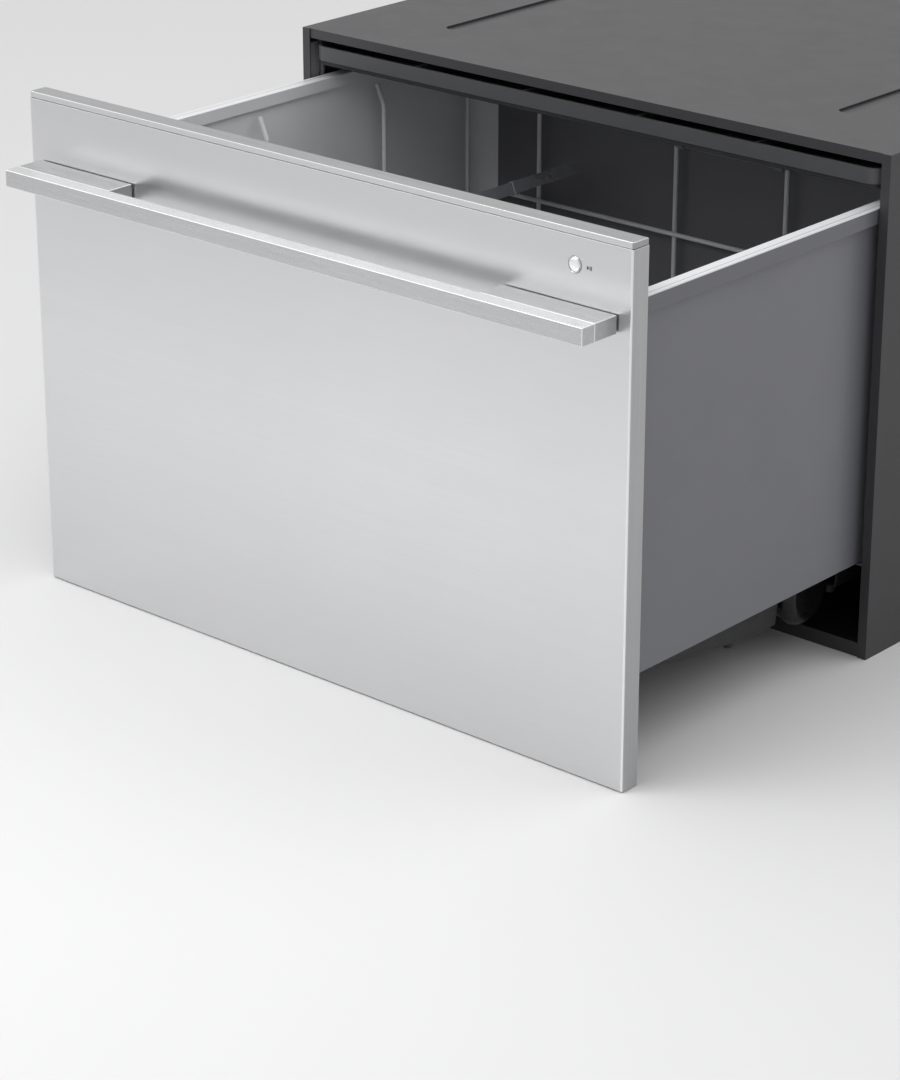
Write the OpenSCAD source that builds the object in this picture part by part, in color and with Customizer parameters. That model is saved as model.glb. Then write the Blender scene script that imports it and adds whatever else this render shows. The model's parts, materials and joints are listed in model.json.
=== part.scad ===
// Single-drawer dishwasher for a 600 mm kitchen cabinet, standing open as in use.
// X runs across the front, Y runs from the front into the cabinet, Z is up.
// The origin is the centre of the housing's underside.

/* [Front panel] */
// Width of the front panel
panel_w = 599; // [560:1:640]
// Height of the front panel
panel_h = 409; // [400:1:430]
// Depth of the front panel from its face to its back
panel_t = 17; // [16:0.5:24]
// Height of the panel's lower edge above the housing's underside
panel_bottom = 1; // [0:0.5:6]
// Thickness of the panel's steel skin
skin_t = 1.2; // [0.8:0.1:1.6]
// Radius of the skin's folded front corners
fold_r = 1.6; // [1:0.1:3]
// Width of the spacers between the panel and the tub
mount_w = 40; // [30:1:60]
// Height of the spacers between the panel and the tub
mount_h = 24; // [16:1:36]
// Height of the cap strip along the panel's top edge
cap_h = 5; // [4:0.5:8]
// Height of the groove between the cap strip and the skin
cap_groove = 0.9; // [0.4:0.1:1.5]
// Distance by which the cap strip stands back from the skin
cap_inset = 0.6; // [0.2:0.1:1]
// Thickness of the plate and ribs of the panel's inner frame
frame_t = 2; // [1.5:0.1:2.5]

/* [Handle] */
// Distance from the panel's top edge to the handle's centre line
handle_drop = 59.5; // [50:0.5:75]
// Height of the handle
handle_h = 13.5; // [10:0.5:18]
// Depth of the handle's front bar
bar_d = 13.5; // [10:0.5:18]
// Distance from the panel's face to the bar, where fingers go
block_d = 25; // [22:0.5:35]
// Width of each end block of the handle
block_w = 102; // [70:1:130]
// Distance from each side of the panel to the handle's end
handle_inset = 12; // [5:1:30]
// Chamfer along the handle's edges
handle_chamfer = 0.7; // [0.3:0.1:1.5]
// Radius of the screws that hold the handle
handle_screw_r = 2.4; // [2:0.1:2.8]
// Distance between the two screws of each handle block
handle_screw_gap = 60; // [30:1:80]

/* [Start button] */
// Distance from the panel's right side to the button's centre
button_side = 50.5; // [40:0.5:70]
// Distance from the panel's top edge to the button's centre
button_drop = 25.5; // [23:0.5:30]
// Radius of the start button
button_r = 5.1; // [4:0.1:6.5]
// Width of the bezel's ring around the button
bezel_ring = 1.4; // [1.2:0.1:3]
// Distance that the bezel stands proud of the panel
bezel_proud = 0.6; // [0.4:0.1:1.5]
// Distance that the button travels
button_travel = 1.2; // [0.8:0.1:1.5]

/* [Housing] */
// Width of the housing
chassis_w = 595; // [585:1:600]
// Height of the housing
chassis_h = 405; // [380:1:430]
// Depth of the housing
chassis_d = 553; // [548:1:590]
// Thickness of the housing's steel sheet
sheet_t = 1; // [0.7:0.1:1.4]
// Width of the flange around the housing's mouth
flange_w = 8; // [5:0.5:8]
// Height of the lips that join the base and top to the sides
lip_h = 12; // [10:0.5:13]
// Radius of the housing's screws
case_screw_r = 1.7; // [1.4:0.1:2]
// Width of the grooves pressed into the housing's sheets
swage_w = 16; // [12:1:24]
// Depth of the grooves pressed into the housing's sheets
swage_d = 2; // [1:0.1:2.5]
// Distance from the side fixing holes up and down to the pressed grooves
swage_rise = 80; // [40:1:90]

/* [Drawer travel] */
// Distance that the drawer stands open
rest_open = 285; // [200:1:400]
// Distance from shut to fully open
travel = 520; // [480:1:530]
// Gap between the panel and the housing when the drawer is shut
door_gap = 3; // [2:0.5:6]

/* [Runners] */
// Length of each runner member
runner_len = 510; // [480:1:525]
// Height of each runner
runner_h = 22; // [21:0.5:23]
// Thickness of the runner members' steel
runner_t = 1.2; // [1:0.1:1.4]
// Distance from the outer member's back to the inner member's face
runner_depth = 12.5; // [12.5:0.1:13.5]
// Distance from the housing's front to the runner's front end
runner_start = 8; // [5:1:12]
// Thickness of the shelf brackets that carry the runners
bracket_t = 1.5; // [1.2:0.1:1.8]

/* [Tub] */
// Depth of the tub over its rim
tub_d = 512; // [495:1:516]
// Distance from the housing's top down to the tub's rim
rim_drop = 42; // [40:0.5:50]
// Gap between the tub's rim and the housing's outside on each side
rim_side_gap = 9.5; // [9.5:0.1:12]
// Distance that the rim stands proud of the tub's walls
rim_over = 6; // [5:0.5:9]
// Height of the rim's outer band
rim_band_h = 12.5; // [9:0.5:18]
// Thickness of the rim
rim_t = 2.5; // [2:0.1:3]
// Height of the lip inside the rim
rim_lip_h = 10; // [7:0.5:14]
// Thickness of the tub's walls
tub_wall = 3; // [2.5:0.1:3.5]
// Height of the tub's lower edge above the housing's underside
skirt_z = 76; // [75:0.5:77]
// Height of the floor inside the tub
floor_z = 104; // [103:0.5:106]
// Radius of the tub's inside corners and floor edges
tub_corner_r = 24; // [18:1:28]
// Radius of the tub's outside corners
tub_outer_r = 10; // [6:1:12]

/* [Sump] */
// Inside radius of the sump bowl under the floor
bowl_r = 122; // [120:1:126]
// Height of the bowl's floor inside
bowl_z = 56; // [55:0.5:58]
// Thickness of the filter plate
filter_t = 3; // [2:0.5:4]
// Number of slots in the filter plate
filter_slots = 40; // [20:1:48]
// Radius of the drain filter
drain_filter_r = 25; // [20:0.5:26]

/* [Wash system] */
// Radius swept by the spray arm
arm_r = 205; // [150:1:215]
// Height of the spray arm's blades
arm_h = 10; // [8:0.5:10.5]
// Radius of the outlet pipe that the spray arm turns on
outlet_r = 20; // [16:0.5:22]
// Radius of the wash rotor
rotor_r = 42; // [34:1:44]
// Number of vanes on the wash rotor
rotor_vanes = 6; // [4:1:9]
// Radius of the rotor's shaft
rotor_shaft_r = 4; // [3:0.1:5]
// Radius of the wash motor
motor_r = 60; // [50:1:64]
// Height of the wash motor
motor_h = 31; // [24:1:34]
// Radius of the heating ring
heater_r = 110; // [108:0.5:111]
// Radius of the heating ring's tube
heater_tube_r = 3.3; // [2.5:0.1:4]
// Radius of the drain pump
pump_r = 28; // [22:1:30]
// Distance from the housing's middle to the drain pump's end
pump_end = 258; // [220:1:260]

/* [Dish basket] */
// Diameter of the basket's frame wire
frame_wire = 5.5; // [4.5:0.1:6]
// Diameter of the basket's thinner wires
mesh_wire = 4; // [3:0.1:4.4]
// Diameter of the plate tines
tine_wire = 3.6; // [3:0.1:4.2]
// Height of the plate tines
tine_h = 85; // [60:1:95]
// Distance between plate tines
tine_pitch = 28; // [24:0.5:32]
// Number of tines in a row
tine_count = 14; // [8:1:14]
// Distance from the basket's floor wires up to its side rail
rail_rise = 101; // [90:1:110]
// Distance from the tub's rim down to the tips of the basket's bent wire ends
tip_drop = 15; // [13:0.5:30]

/* [Cup rack] */
// Width of the cup rack from its hinge to its free edge
cup_rack_w = 122; // [90:1:124]
// Length of the cup rack
cup_rack_len = 330; // [240:1:332]
// Slope of the cup rack when it is folded out
cup_rack_slope = 24; // [15:1:30]
// Height of the strip along the cup rack's free edge
cup_strip_h = 10; // [6:0.5:14]

/* [Sealing lid] */
// Distance that the lid is lowered to close the tub
lid_lift = 11.5; // [9:0.5:13]
// Height of the lid over its ribs
lid_h = 16; // [12:0.5:16.5]
// Height of the seal under the lid
gasket_h = 4.6; // [3:0.1:6]
// Thickness of the lid's walls
lid_wall = 2.4; // [1.8:0.1:3]

/* [Detergent dispenser] */
// Distance from the tub's middle to the dispenser's middle
dispenser_x = 135; // [125:1:150]
// Width of the dispenser's front plate
dispenser_w = 120; // [116:1:126]
// Height of the dispenser's front plate
dispenser_h = 100; // [92:1:110]
// Distance from the tub's rim down to the dispenser's middle
dispenser_drop = 75; // [70:1:85]

/* [Hidden] */
$fn = 40;

// Clearances and small allowances
seat = 0.2;          // between pieces that rest against each other
slide_gap = 0.3;     // round a hinge pin or a sliding piece
hole_gap = 0.1;      // round a screw
cut = 1;             // by which a cutting tool passes its face

// Housing
chassis_front = -chassis_d / 2;
chassis_back_y = chassis_d / 2;
side_in = chassis_w / 2 - sheet_t;
base_screw_z = lip_h / 2 + sheet_t;
top_screw_z = chassis_h - sheet_t - lip_h / 2;

// Drawer
panel_back = chassis_front - door_gap - rest_open;
panel_front = panel_back - panel_t;
panel_top = panel_bottom + panel_h;
skin_top = panel_top - cap_h;
button_x = panel_w / 2 - button_side;
button_z = panel_top - button_drop;
handle_z = panel_top - handle_drop;
handle_half = panel_w / 2 - handle_inset;
block_mid = handle_half - block_w / 2;
block_front = panel_front - block_d;

// Tub
rim_z = chassis_h - rim_drop;
rim_w = chassis_w - 2 * rim_side_gap;
rim_r = tub_outer_r + rim_over - 2;
tub_w = rim_w - 2 * rim_over;
tub_l = tub_d - 2 * rim_over;
tub_y = panel_back + tub_d / 2;
cavity_w = tub_w - 2 * tub_wall;
cavity_l = tub_l - 2 * tub_wall;
front_in = tub_y - cavity_l / 2;
floor_under = floor_z - tub_wall;
bowl_out_r = bowl_r + tub_wall;
ledge_top = 122;

// Runners: u is measured from the outer member's back towards the tub's skirt
runner_face = tub_w / 2 - tub_wall;
runner_back = runner_face - runner_depth;
runner_z = (skirt_z + floor_under) / 2 - 0.5;
runner_y = chassis_front + runner_start;
shelf_z = skirt_z - 1.5 - bracket_t;
bracket_foot = shelf_z - 22;
lip_u = runner_depth - 2 * runner_t + 0.1;
member_gap = 0.5;

// Lid
lid_front = chassis_front + 1;
lid_d = tub_d - door_gap - 2;
lid_y = lid_front + lid_d / 2;
gasket_z = rim_z + slide_gap + lid_lift;
lid_flange_z = gasket_z + gasket_h;
lid_top = gasket_z + 0.6 + lid_h;   // the plug's underside lies 0.6 above the seal's
plug_inset = 20;
pin_z = lid_flange_z + 4.5;
pin_r = 3;
guide_t = 4;
pin_ys = [lid_y - lid_d / 2 + 80, lid_y + lid_d / 2 - 80];
rod_x = rim_w / 5;
rod_r = 4;
actuator_w = 54;
actuator_l = 96;
actuator_z = lid_top + 1;
sleeve_h = 8;
plug_z = gasket_z + 0.6;
boss_top = actuator_z - sleeve_h - 2;

// Wash system
ledge_h = 5;
filter_z = floor_z - filter_t - 4;
arm_z = floor_z + 4;
arm_hub_r = outlet_r + 12;
volute_r = rotor_r + 8;
drain_filter_at = 78;
drain_filter_turn = 225;
motor_z = bowl_z - tub_wall - motor_h;
pump_y = tub_y + 10;
pump_z = 53;
volute_x = bowl_out_r + 10;
volute_w = 20;

// Basket, measured from the middle of the tub's floor
frame_z = ledge_top + seat + frame_wire / 2;
basket_hw = cavity_w / 2 - 15;
basket_hl = cavity_l / 2 - 8;
basket_r = 18;
long_z = frame_z + mesh_wire - 0.4;
rail_z = frame_z + rail_rise;
rail_hw = basket_hw - mesh_wire - 0.1;
rail_hl = basket_hl - mesh_wire - 0.1;
tip_out = 8;
tip_up = 18;
upright_z = rim_z - tip_drop - tip_up;
side_uprights = [-188, -47, 96, 205];
end_uprights = [-210, -58, 58, 210];
cross_pitch = 47;
cross_count = 9;
long_count = 11;
long_margin = 26.5;  // from the frame's side to the outer long wire
long_pitch = 2 * (basket_hw - long_margin) / (long_count - 1);
spine_wire = 5;
spine_len = (tine_count - 1) * tine_pitch + 24;
row_off = 12.5;      // from a long floor wire to the middle of a folding row
fixed_rows = [0.5 * long_pitch, 4.5 * long_pitch];
fold_rows = [-long_pitch - row_off, 3 * long_pitch - row_off];
fixed_spine_z = frame_z + mesh_wire / 2 + spine_wire / 2 + seat;
fold_spine_z = long_z + mesh_wire / 2 + max(spine_wire, tine_wire) / 2 + 0.6;
clip_ys = [-3 * cross_pitch, 0, 3 * cross_pitch];
clip_w = 10;
clip_z = frame_z + mesh_wire / 2 + seat;

// Cup rack, hinged on the basket's left rail
rack_start = -116;
rack_t = 3;
barrel_r = mesh_wire / 2 + slide_gap + 2;
slat_pitch = 15;
rack_barrels = [-90, 0, 50, 150];
barrel_w = 16;

// Dispenser
dispenser_z = rim_z - dispenser_drop;
cup_w = 52;
cup_h = 62;
cup_x = dispenser_x - dispenser_w / 2 + 10 + cup_w / 2;
cap_x = dispenser_x + dispenser_w / 2 - 24;
plate_t = 2.5;
pocket_d = 18;
pocket_in = 9;
flap_pin_r = 1.2;
flap_z = dispenser_z + cup_h / 2 + 6;
flap_y = front_in + seat + plate_t + 3.4;

// ---------- Shared shapes ----------

// Flat rounded rectangle about the origin
module rounded_rect(w, l, r) {
  square([w - 2 * r, l], center = true);
  square([w, l - 2 * r], center = true);
  for (x = [-1, 1], y = [-1, 1]) translate([x * (w / 2 - r), y * (l / 2 - r)]) circle(r);
}

// Rounded slab between two heights, about a point of the floor plan
module slab(w, l, r, z0, z1, y = 0) {
  translate([0, y, z0]) linear_extrude(z1 - z0) rounded_rect(w, l, r);
}

// Rounded ring between two heights
module ring_slab(w, l, r, t, z0, z1, y = 0) {
  translate([0, y, z0]) linear_extrude(z1 - z0) difference() {
    rounded_rect(w, l, r);
    rounded_rect(w - 2 * t, l - 2 * t, r - t);
  }
}

// Box given by its lowest and highest corners
module box(a, b) {
  translate(a) cube(b - a);
}

// Straight round wire from one point to another
module wire(a, b, d) {
  v = b - a;
  translate(a) rotate([0, atan2(norm([v.x, v.y]), v.z), atan2(v.y, v.x)]) cylinder(h = norm(v), d = d);
}

// Profile drawn in X and Z, extruded along Y
module along_y(y0, y1) {
  translate([0, y1, 0]) rotate([90, 0, 0]) linear_extrude(y1 - y0) children();
}

// Profile drawn in Y and Z, extruded along X
module along_x(x0, x1) {
  translate([x0, 0, 0]) rotate([90, 0, 90]) linear_extrude(x1 - x0) children();
}

// Right-hand part, mirrored for the left
module side(s) {
  mirror([s < 0 ? 1 : 0, 0, 0]) children();
}

// Long outline with round ends, about the origin
module stadium(l, w) {
  square([l - w, w], center = true);
  for (x = [-1, 1]) translate([x * (l - w) / 2, 0]) circle(w / 2);
}

// Square outline with chamfered corners, from its lowest corner
module chamfered(w, h, c) {
  polygon([[c, 0], [w - c, 0], [w, c], [w, h - c], [w - c, h], [c, h], [0, h - c], [0, c]]);
}

// ---------- Housing ----------

// Screw places on a side sheet, as [y, z] pairs
side_screws = [for (y = [-220, 0, 220], z = [base_screw_z, top_screw_z]) [y * chassis_d / 553, z]];
// Places of the holes that fix the housing to the cabinet, as [y, z] pairs
fixing_z = chassis_h / 2;
fixing_span = 400;
fixing_r = 2.5;
side_swage_l = chassis_d - 90;
top_swage_l = chassis_d - 150;
top_swage_x = side_in - 96;

module chassis_side(s) {
  color([0.12, 0.12, 0.13]) side(s) difference() {
    union() {
      box([side_in, chassis_front, 0], [chassis_w / 2, chassis_back_y, chassis_h]);
      // folded flanges at the mouth and at the back
      box([chassis_w / 2 - flange_w, chassis_front, 0], [chassis_w / 2, chassis_front + sheet_t, chassis_h]);
      box([side_in - lip_h, chassis_back_y - sheet_t, sheet_t], [chassis_w / 2, chassis_back_y, chassis_h - sheet_t]);
      // inner side of the pressed grooves
      for (z = [-1, 1]) translate([side_in - swage_d, 0, fixing_z + z * swage_rise]) rotate([90, 0, 90])
        linear_extrude(swage_d + sheet_t / 2) stadium(side_swage_l, swage_w);
    }
    for (z = [-1, 1]) translate([chassis_w / 2 - swage_d, 0, fixing_z + z * swage_rise]) rotate([90, 0, 90])
      linear_extrude(swage_d + cut) stadium(side_swage_l - 2 * sheet_t, swage_w - 2 * sheet_t);
    for (p = side_screws) translate([side_in - cut, p[0], p[1]]) rotate([0, 90, 0])
      cylinder(h = sheet_t + 2 * cut, r = case_screw_r + hole_gap);
    for (y = [-1, 1]) translate([side_in - cut, y * fixing_span / 2, fixing_z]) rotate([0, 90, 0])
      cylinder(h = sheet_t + 2 * cut, r = fixing_r);
  }
}

module chassis_back() {
  back = chassis_back_y - sheet_t;
  color([0.14, 0.14, 0.15]) difference() {
    union() {
      box([-side_in, back - sheet_t, sheet_t], [side_in, back, chassis_h - sheet_t]);
      // pressed stiffening ribs, inside the cavity
      for (x = [-150, 0, 150]) along_y(back - sheet_t - 3, back - sheet_t)
        translate([x - 9, 70]) chamfered(18, chassis_h - 120, 4);
    }
    for (x = [-150, 0, 150]) along_y(back - 3, back + cut)
      translate([x - 9 + sheet_t, 70 + sheet_t]) chamfered(18 - 2 * sheet_t, chassis_h - 120 - 2 * sheet_t, 3.5);
    translate([inlet_x, back - 8, inlet_z]) rotate([-90, 0, 0]) cylinder(h = 12, r = inlet_tail_r + collar + 0.4);
    translate([drain_x, back - 8, drain_z]) rotate([-90, 0, 0]) cylinder(h = 12, r = drain_tail_r + collar + 0.4);
    translate([power_x, back - 8, power_z]) rotate([-90, 0, 0]) cylinder(h = 12, r = gland_r + 0.4);
  }
}

module chassis_base() {
  color([0.14, 0.14, 0.15]) difference() {
    union() {
      box([-side_in, chassis_front + sheet_t, 0], [side_in, chassis_back_y - 2 * sheet_t, sheet_t]);
      for (x = [-1, 1]) translate([x * (side_in - sheet_t / 2), 0, sheet_t + lip_h / 2])
        cube([sheet_t, chassis_d - 4 * sheet_t, lip_h], center = true);
      // front lip and two drip ribs across the tray
      box([-side_in, chassis_front + sheet_t, 0], [side_in, chassis_front + 2 * sheet_t, lip_h]);
      for (y = [-120, 120]) along_x(-side_in + 20, side_in - 20)
        translate([y - 8, sheet_t]) polygon([[0, 0], [16, 0], [12, 3], [4, 3]]);
    }
    for (x = [-1, 1], p = side_screws) if (p[1] < chassis_h / 2) translate([x * side_in, p[0], p[1]])
      rotate([0, 90, 0]) cylinder(h = 4 * sheet_t, r = case_screw_r + hole_gap, center = true);
  }
}

module chassis_top() {
  color([0.14, 0.14, 0.15]) difference() {
    union() {
      box([-side_in, chassis_front + sheet_t, chassis_h - sheet_t],
          [side_in, chassis_back_y - 2 * sheet_t, chassis_h]);
      for (x = [-1, 1]) translate([x * (side_in - sheet_t / 2), 0, chassis_h - sheet_t - lip_h / 2])
        cube([sheet_t, chassis_d - 4 * sheet_t, lip_h], center = true);
      // front stiffening lip over the lid
      box([-side_in, chassis_front + sheet_t, chassis_h - 8], [side_in, chassis_front + 2 * sheet_t, chassis_h]);
      for (x = [-1, 1]) translate([x * top_swage_x, 0, chassis_h - sheet_t - swage_d]) rotate([0, 0, 90])
        linear_extrude(swage_d + sheet_t / 2) stadium(top_swage_l, swage_w);
    }
    for (x = [-1, 1]) translate([x * top_swage_x, 0, chassis_h - swage_d]) rotate([0, 0, 90])
      linear_extrude(swage_d + cut) stadium(top_swage_l - 2 * sheet_t, swage_w - 2 * sheet_t);
    for (x = [-1, 1], p = side_screws) if (p[1] > chassis_h / 2) translate([x * side_in, p[0], p[1]])
      rotate([0, 90, 0]) cylinder(h = 4 * sheet_t, r = case_screw_r + hole_gap, center = true);
  }
}

// Ribbed strips inside the housing's mouth, above and below the runner brackets
module front_trim() {
  lift = 5;
  base = 2;
  y0 = chassis_front + sheet_t;
  spans = [[lip_h + sheet_t + seat, bracket_foot - seat], [shelf_z + bracket_t + seat, chassis_h - sheet_t - lip_h - seat]];
  color([0.45, 0.45, 0.47]) for (s = [-1, 1]) side(s) for (z = spans)
    translate([0, 0, z[0]]) linear_extrude(z[1] - z[0]) polygon([
      [side_in, y0], [side_in, y0 + 20], [side_in - lift + 1, y0 + 20], [side_in - lift, y0 + 19],
      [side_in - lift, y0 + 16.5], [side_in - base, y0 + 15.5], [side_in - base, y0 + 13.5],
      [side_in - lift, y0 + 12.5], [side_in - lift, y0]
    ]);
}

// Pan-head screws that join the sides to the base and top
module chassis_screws() {
  color([0.55, 0.56, 0.58]) for (s = [-1, 1]) side(s) for (p = side_screws)
    translate([chassis_w / 2, p[0], p[1]]) rotate([0, 90, 0]) {
      cylinder(h = 1.6, r1 = case_screw_r + 1.9, r2 = case_screw_r + 1.2);
      translate([0, 0, -5]) cylinder(h = 5.5, r = case_screw_r);
    }
}

// Shelf bracket that reaches under the tub's skirt to carry a runner
module rail_bracket(s) {
  end_y = runner_y + runner_len;
  color([0.5, 0.51, 0.53]) side(s) {
    box([side_in - bracket_t, runner_y, bracket_foot], [side_in, end_y, shelf_z + bracket_t]);
    box([runner_back - bracket_t, runner_y, shelf_z], [side_in, end_y, shelf_z + bracket_t]);
    box([runner_back - bracket_t, runner_y, shelf_z], [runner_back, end_y, runner_z + runner_h / 2]);
  }
}

// C-shaped runner member: back at u0, mouth at u1, half height v, lips reaching in to v_lip
module channel(u0, u1, v, v_lip, t) {
  for (z = [-1, 1]) scale_z(z) {
    translate([u0, 0]) square([t, v]);
    translate([u0, v - t]) square([u1 - u0, t]);
    translate([u1 - t, v_lip]) square([t, v - v_lip]);
  }
}

module scale_z(z) {
  mirror([0, z < 0 ? 1 : 0]) children();
}

// Half heights of the three members
outer_v = runner_h / 2;
middle_v = outer_v - runner_t - member_gap;
inner_v = middle_v - runner_t - 0.4;
inner_web_v = inner_v - 2.3;

module runner_outer(s) {
  color([0.62, 0.63, 0.65]) side(s) translate([runner_back, 0, runner_z])
    along_y(runner_y + tub_outer_r, runner_y + runner_len) channel(0, lip_u + runner_t, outer_v, outer_v - 3.4, runner_t);
}

module runner_middle(s) {
  start = runner_y - rest_open / 2;
  color([0.66, 0.67, 0.69]) side(s) translate([runner_back, 0, runner_z]) along_y(start, start + runner_len)
    channel(runner_t + 0.6, lip_u - 0.6, middle_v, middle_v - 3.1, runner_t);
}

module runner_inner(s) {
  start = runner_y - rest_open;
  foot_u = 2 * runner_t + 1.6;
  color([0.7, 0.71, 0.73]) side(s) translate([runner_back, 0, runner_z]) along_y(start + tub_outer_r + 1, start + runner_len)
    for (z = [-1, 1]) scale_z(z) {
      translate([runner_depth - runner_t, 0]) square([runner_t, inner_web_v]);
      translate([foot_u, inner_web_v - runner_t]) square([runner_depth - foot_u, runner_t]);
      translate([foot_u, inner_web_v - runner_t]) square([runner_t, inner_v - inner_web_v + runner_t]);
    }
}

// Four slotted brackets that the lid's pins ride in
module lid_guides() {
  guide_h = lid_lift + 2 * pin_r + 9;
  guide_w = 26;
  color([0.3, 0.3, 0.31]) for (s = [-1, 1], y = pin_ys) side(s)
    difference() {
      box([side_in - guide_t, y - guide_w / 2, pin_z + pin_r + 4.5 - guide_h],
          [side_in, y + guide_w / 2, pin_z + pin_r + 4.5]);
      // vertical slot with round ends
      for (z = [pin_z - lid_lift, pin_z]) translate([side_in - guide_t - cut, y, z]) rotate([0, 90, 0])
        cylinder(h = guide_t + 2 * cut, r = pin_r + slide_gap);
      box([side_in - guide_t - cut, y - pin_r - slide_gap, pin_z - lid_lift],
          [side_in + cut, y + pin_r + slide_gap, pin_z]);
    }
}

// Gear motor under the housing's top, which pushes the lid down by a rod
module lid_actuator(s) {
  top = chassis_h - sheet_t;
  color([0.2, 0.2, 0.21]) side(s) difference() {
    union() {
      translate([rod_x, lid_y, actuator_z]) slab(actuator_w, actuator_l, 8, 0, top - actuator_z);
      // mounting ears, and the sleeve that guides the rod into the lid
      translate([rod_x, lid_y, top - 2.5]) slab(20, actuator_l + 28, 6, 0, 2.5);
      translate([rod_x, lid_y, actuator_z - sleeve_h]) cylinder(h = sleeve_h + cut, r = rod_r + 3);
    }
    translate([rod_x, lid_y, actuator_z - sleeve_h - cut])
      cylinder(h = top - actuator_z + sleeve_h, r = rod_r + slide_gap);
  }
}

// Water, waste and power connections on the back
inlet_x = -chassis_w / 2 + 107.5;
inlet_z = 70;
inlet_tail_r = 13.2;
drain_x = -chassis_w / 2 + 187.5;
drain_z = 60;
drain_tail_r = 9.5;
power_x = chassis_w / 2 - 97.5;
power_z = 60;
gland_r = 8;
tail_len = 14;
collar = 3;          // by which each tail's collar is wider, where it passes through the sheet

module inlet_valve() {
  face = chassis_back_y - 2 * sheet_t;
  color([0.85, 0.85, 0.83]) union() {
    // valve block with its coil
    translate([inlet_x, 0, 0]) along_y(face - 26, face) translate([-20, inlet_z - 18]) chamfered(40, 36, 3);
    translate([inlet_x, face - 13, inlet_z + 18]) cylinder(h = 28, r = 11);
    translate([inlet_x, face - 13, inlet_z + 46]) cylinder(h = 4, r = 6);
    // threaded tail for the supply hose
    translate([inlet_x, face, inlet_z]) rotate([-90, 0, 0]) difference() {
      union() {
        translate([0, 0, -cut]) cylinder(h = 2 * sheet_t + cut, r = inlet_tail_r + collar);
        cylinder(h = 2 * sheet_t + tail_len, r = inlet_tail_r);
      }
      translate([0, 0, 4]) cylinder(h = 2 * sheet_t + tail_len, r = 8);
    }
  }
}

module drain_outlet() {
  face = chassis_back_y - 2 * sheet_t;
  color([0.16, 0.16, 0.17]) translate([drain_x, face, drain_z]) rotate([-90, 0, 0]) difference() {
    union() {
      translate([0, 0, -4]) cylinder(h = 4, r = drain_tail_r + collar + 3);
      translate([0, 0, -26]) cylinder(h = 26, r = drain_tail_r - 0.7);
      translate([0, 0, -cut]) cylinder(h = 2 * sheet_t + cut, r = drain_tail_r + collar);
      cylinder(h = 2 * sheet_t + tail_len + 10, r = drain_tail_r);
    }
    translate([0, 0, -30]) cylinder(h = 80, r = drain_tail_r - 2);
  }
}

module power_inlet() {
  face = chassis_back_y - 2 * sheet_t;
  color([0.1, 0.1, 0.11]) {
    box([power_x - 35, face - 30, power_z - 22], [power_x + 35, face, power_z + 22]);
    translate([power_x, face, power_z]) rotate([-90, 0, 0]) difference() {
      union() {
        cylinder(h = 2 * sheet_t + 4, r = gland_r);
        translate([0, 0, 2 * sheet_t]) cylinder(h = 6, r = gland_r + 2.5, $fn = 6);
        translate([0, 0, 2 * sheet_t + 6]) cylinder(h = 6, r1 = gland_r, r2 = gland_r - 2);
      }
      translate([0, 0, -cut]) cylinder(h = 30, r = 3.6);
    }
  }
}

// Float in the base tray that stops the machine if water collects
module leak_float() {
  at = [-200, 180, sheet_t];
  color([0.9, 0.9, 0.88]) translate(at) difference() {
    union() {
      cylinder(h = 9, r = 22);
      cylinder(h = 14, r = 8);
      box([18, -8, 0], [40, 8, 3]);
    }
    translate([0, 0, 2]) difference() {
      cylinder(h = 20, r = 19.5);
      cylinder(h = 20, r = 10);
    }
  }
}

// ---------- Sealing lid ----------

module lid() {
  rib = 2;
  hw = rim_w / 2;
  hl = lid_d / 2;
  plug_w = rim_w - 2 * plug_inset;
  plug_l = lid_d - 2 * plug_inset;
  color([0.2, 0.2, 0.21]) translate([0, lid_y, 0]) difference() {
    union() {
      slab(rim_w, lid_d, rim_r, lid_flange_z, lid_flange_z + lid_wall);
      slab(plug_w, plug_l, rim_r, plug_z, lid_flange_z + lid_wall);
      ring_slab(rim_w, lid_d, rim_r, lid_wall, lid_flange_z, lid_top);
      // stiffening ribs on the upper side
      for (x = [-0.6, -0.2, 0.2, 0.6]) box([x * hw - rib / 2, -hl + 1, lid_flange_z + 1], [x * hw + rib / 2, hl - 1, lid_top]);
      for (y = [-0.6, -0.2, 0.2, 0.6]) box([-hw + 1, y * hl - rib / 2, lid_flange_z + 1], [hw - 1, y * hl + rib / 2, lid_top]);
      for (x = [-1, 1]) translate([x * rod_x, 0, plug_z]) cylinder(h = boss_top - plug_z, r = rod_r + 3);
    }
    // hollow of the plug, open above, between the ribs
    for (i = [-2:2], j = [-2:2]) pocket(i, j, hw, hl, plug_w / 2, plug_l / 2, plug_z, rib);
    for (x = [-1, 1]) translate([x * rod_x, 0, boss_top - 4]) cylinder(h = 20, r = rod_r + hole_gap);
    for (s = [-1, 1], y = pin_ys) side(s) translate([hw - lid_wall - cut, y - lid_y, pin_z]) rotate([0, 90, 0])
      cylinder(h = lid_wall + 2 * cut, r = pin_r + hole_gap);
  }
}

// One pocket of the lid's upper side, kept inside the plug and off the rod bosses
module pocket(i, j, hw, hl, phw, phl, z, rib) {
  half = lid_wall + 0.4;
  x0 = max(-phw + half, (i - 0.5) * 0.4 * hw + rib / 2 + 0.2);
  x1 = min(phw - half, (i + 0.5) * 0.4 * hw - rib / 2 - 0.2);
  y0 = max(-phl + half, (j - 0.5) * 0.4 * hl + rib / 2 + 0.2);
  y1 = min(phl - half, (j + 0.5) * 0.4 * hl - rib / 2 - 0.2);
  difference() {
    box([x0, y0, z + lid_wall], [x1, y1, lid_top + cut]);
    for (x = [-1, 1]) translate([x * rod_x, 0, z]) cylinder(h = lid_top, r = rod_r + 3);
  }
}

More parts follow.
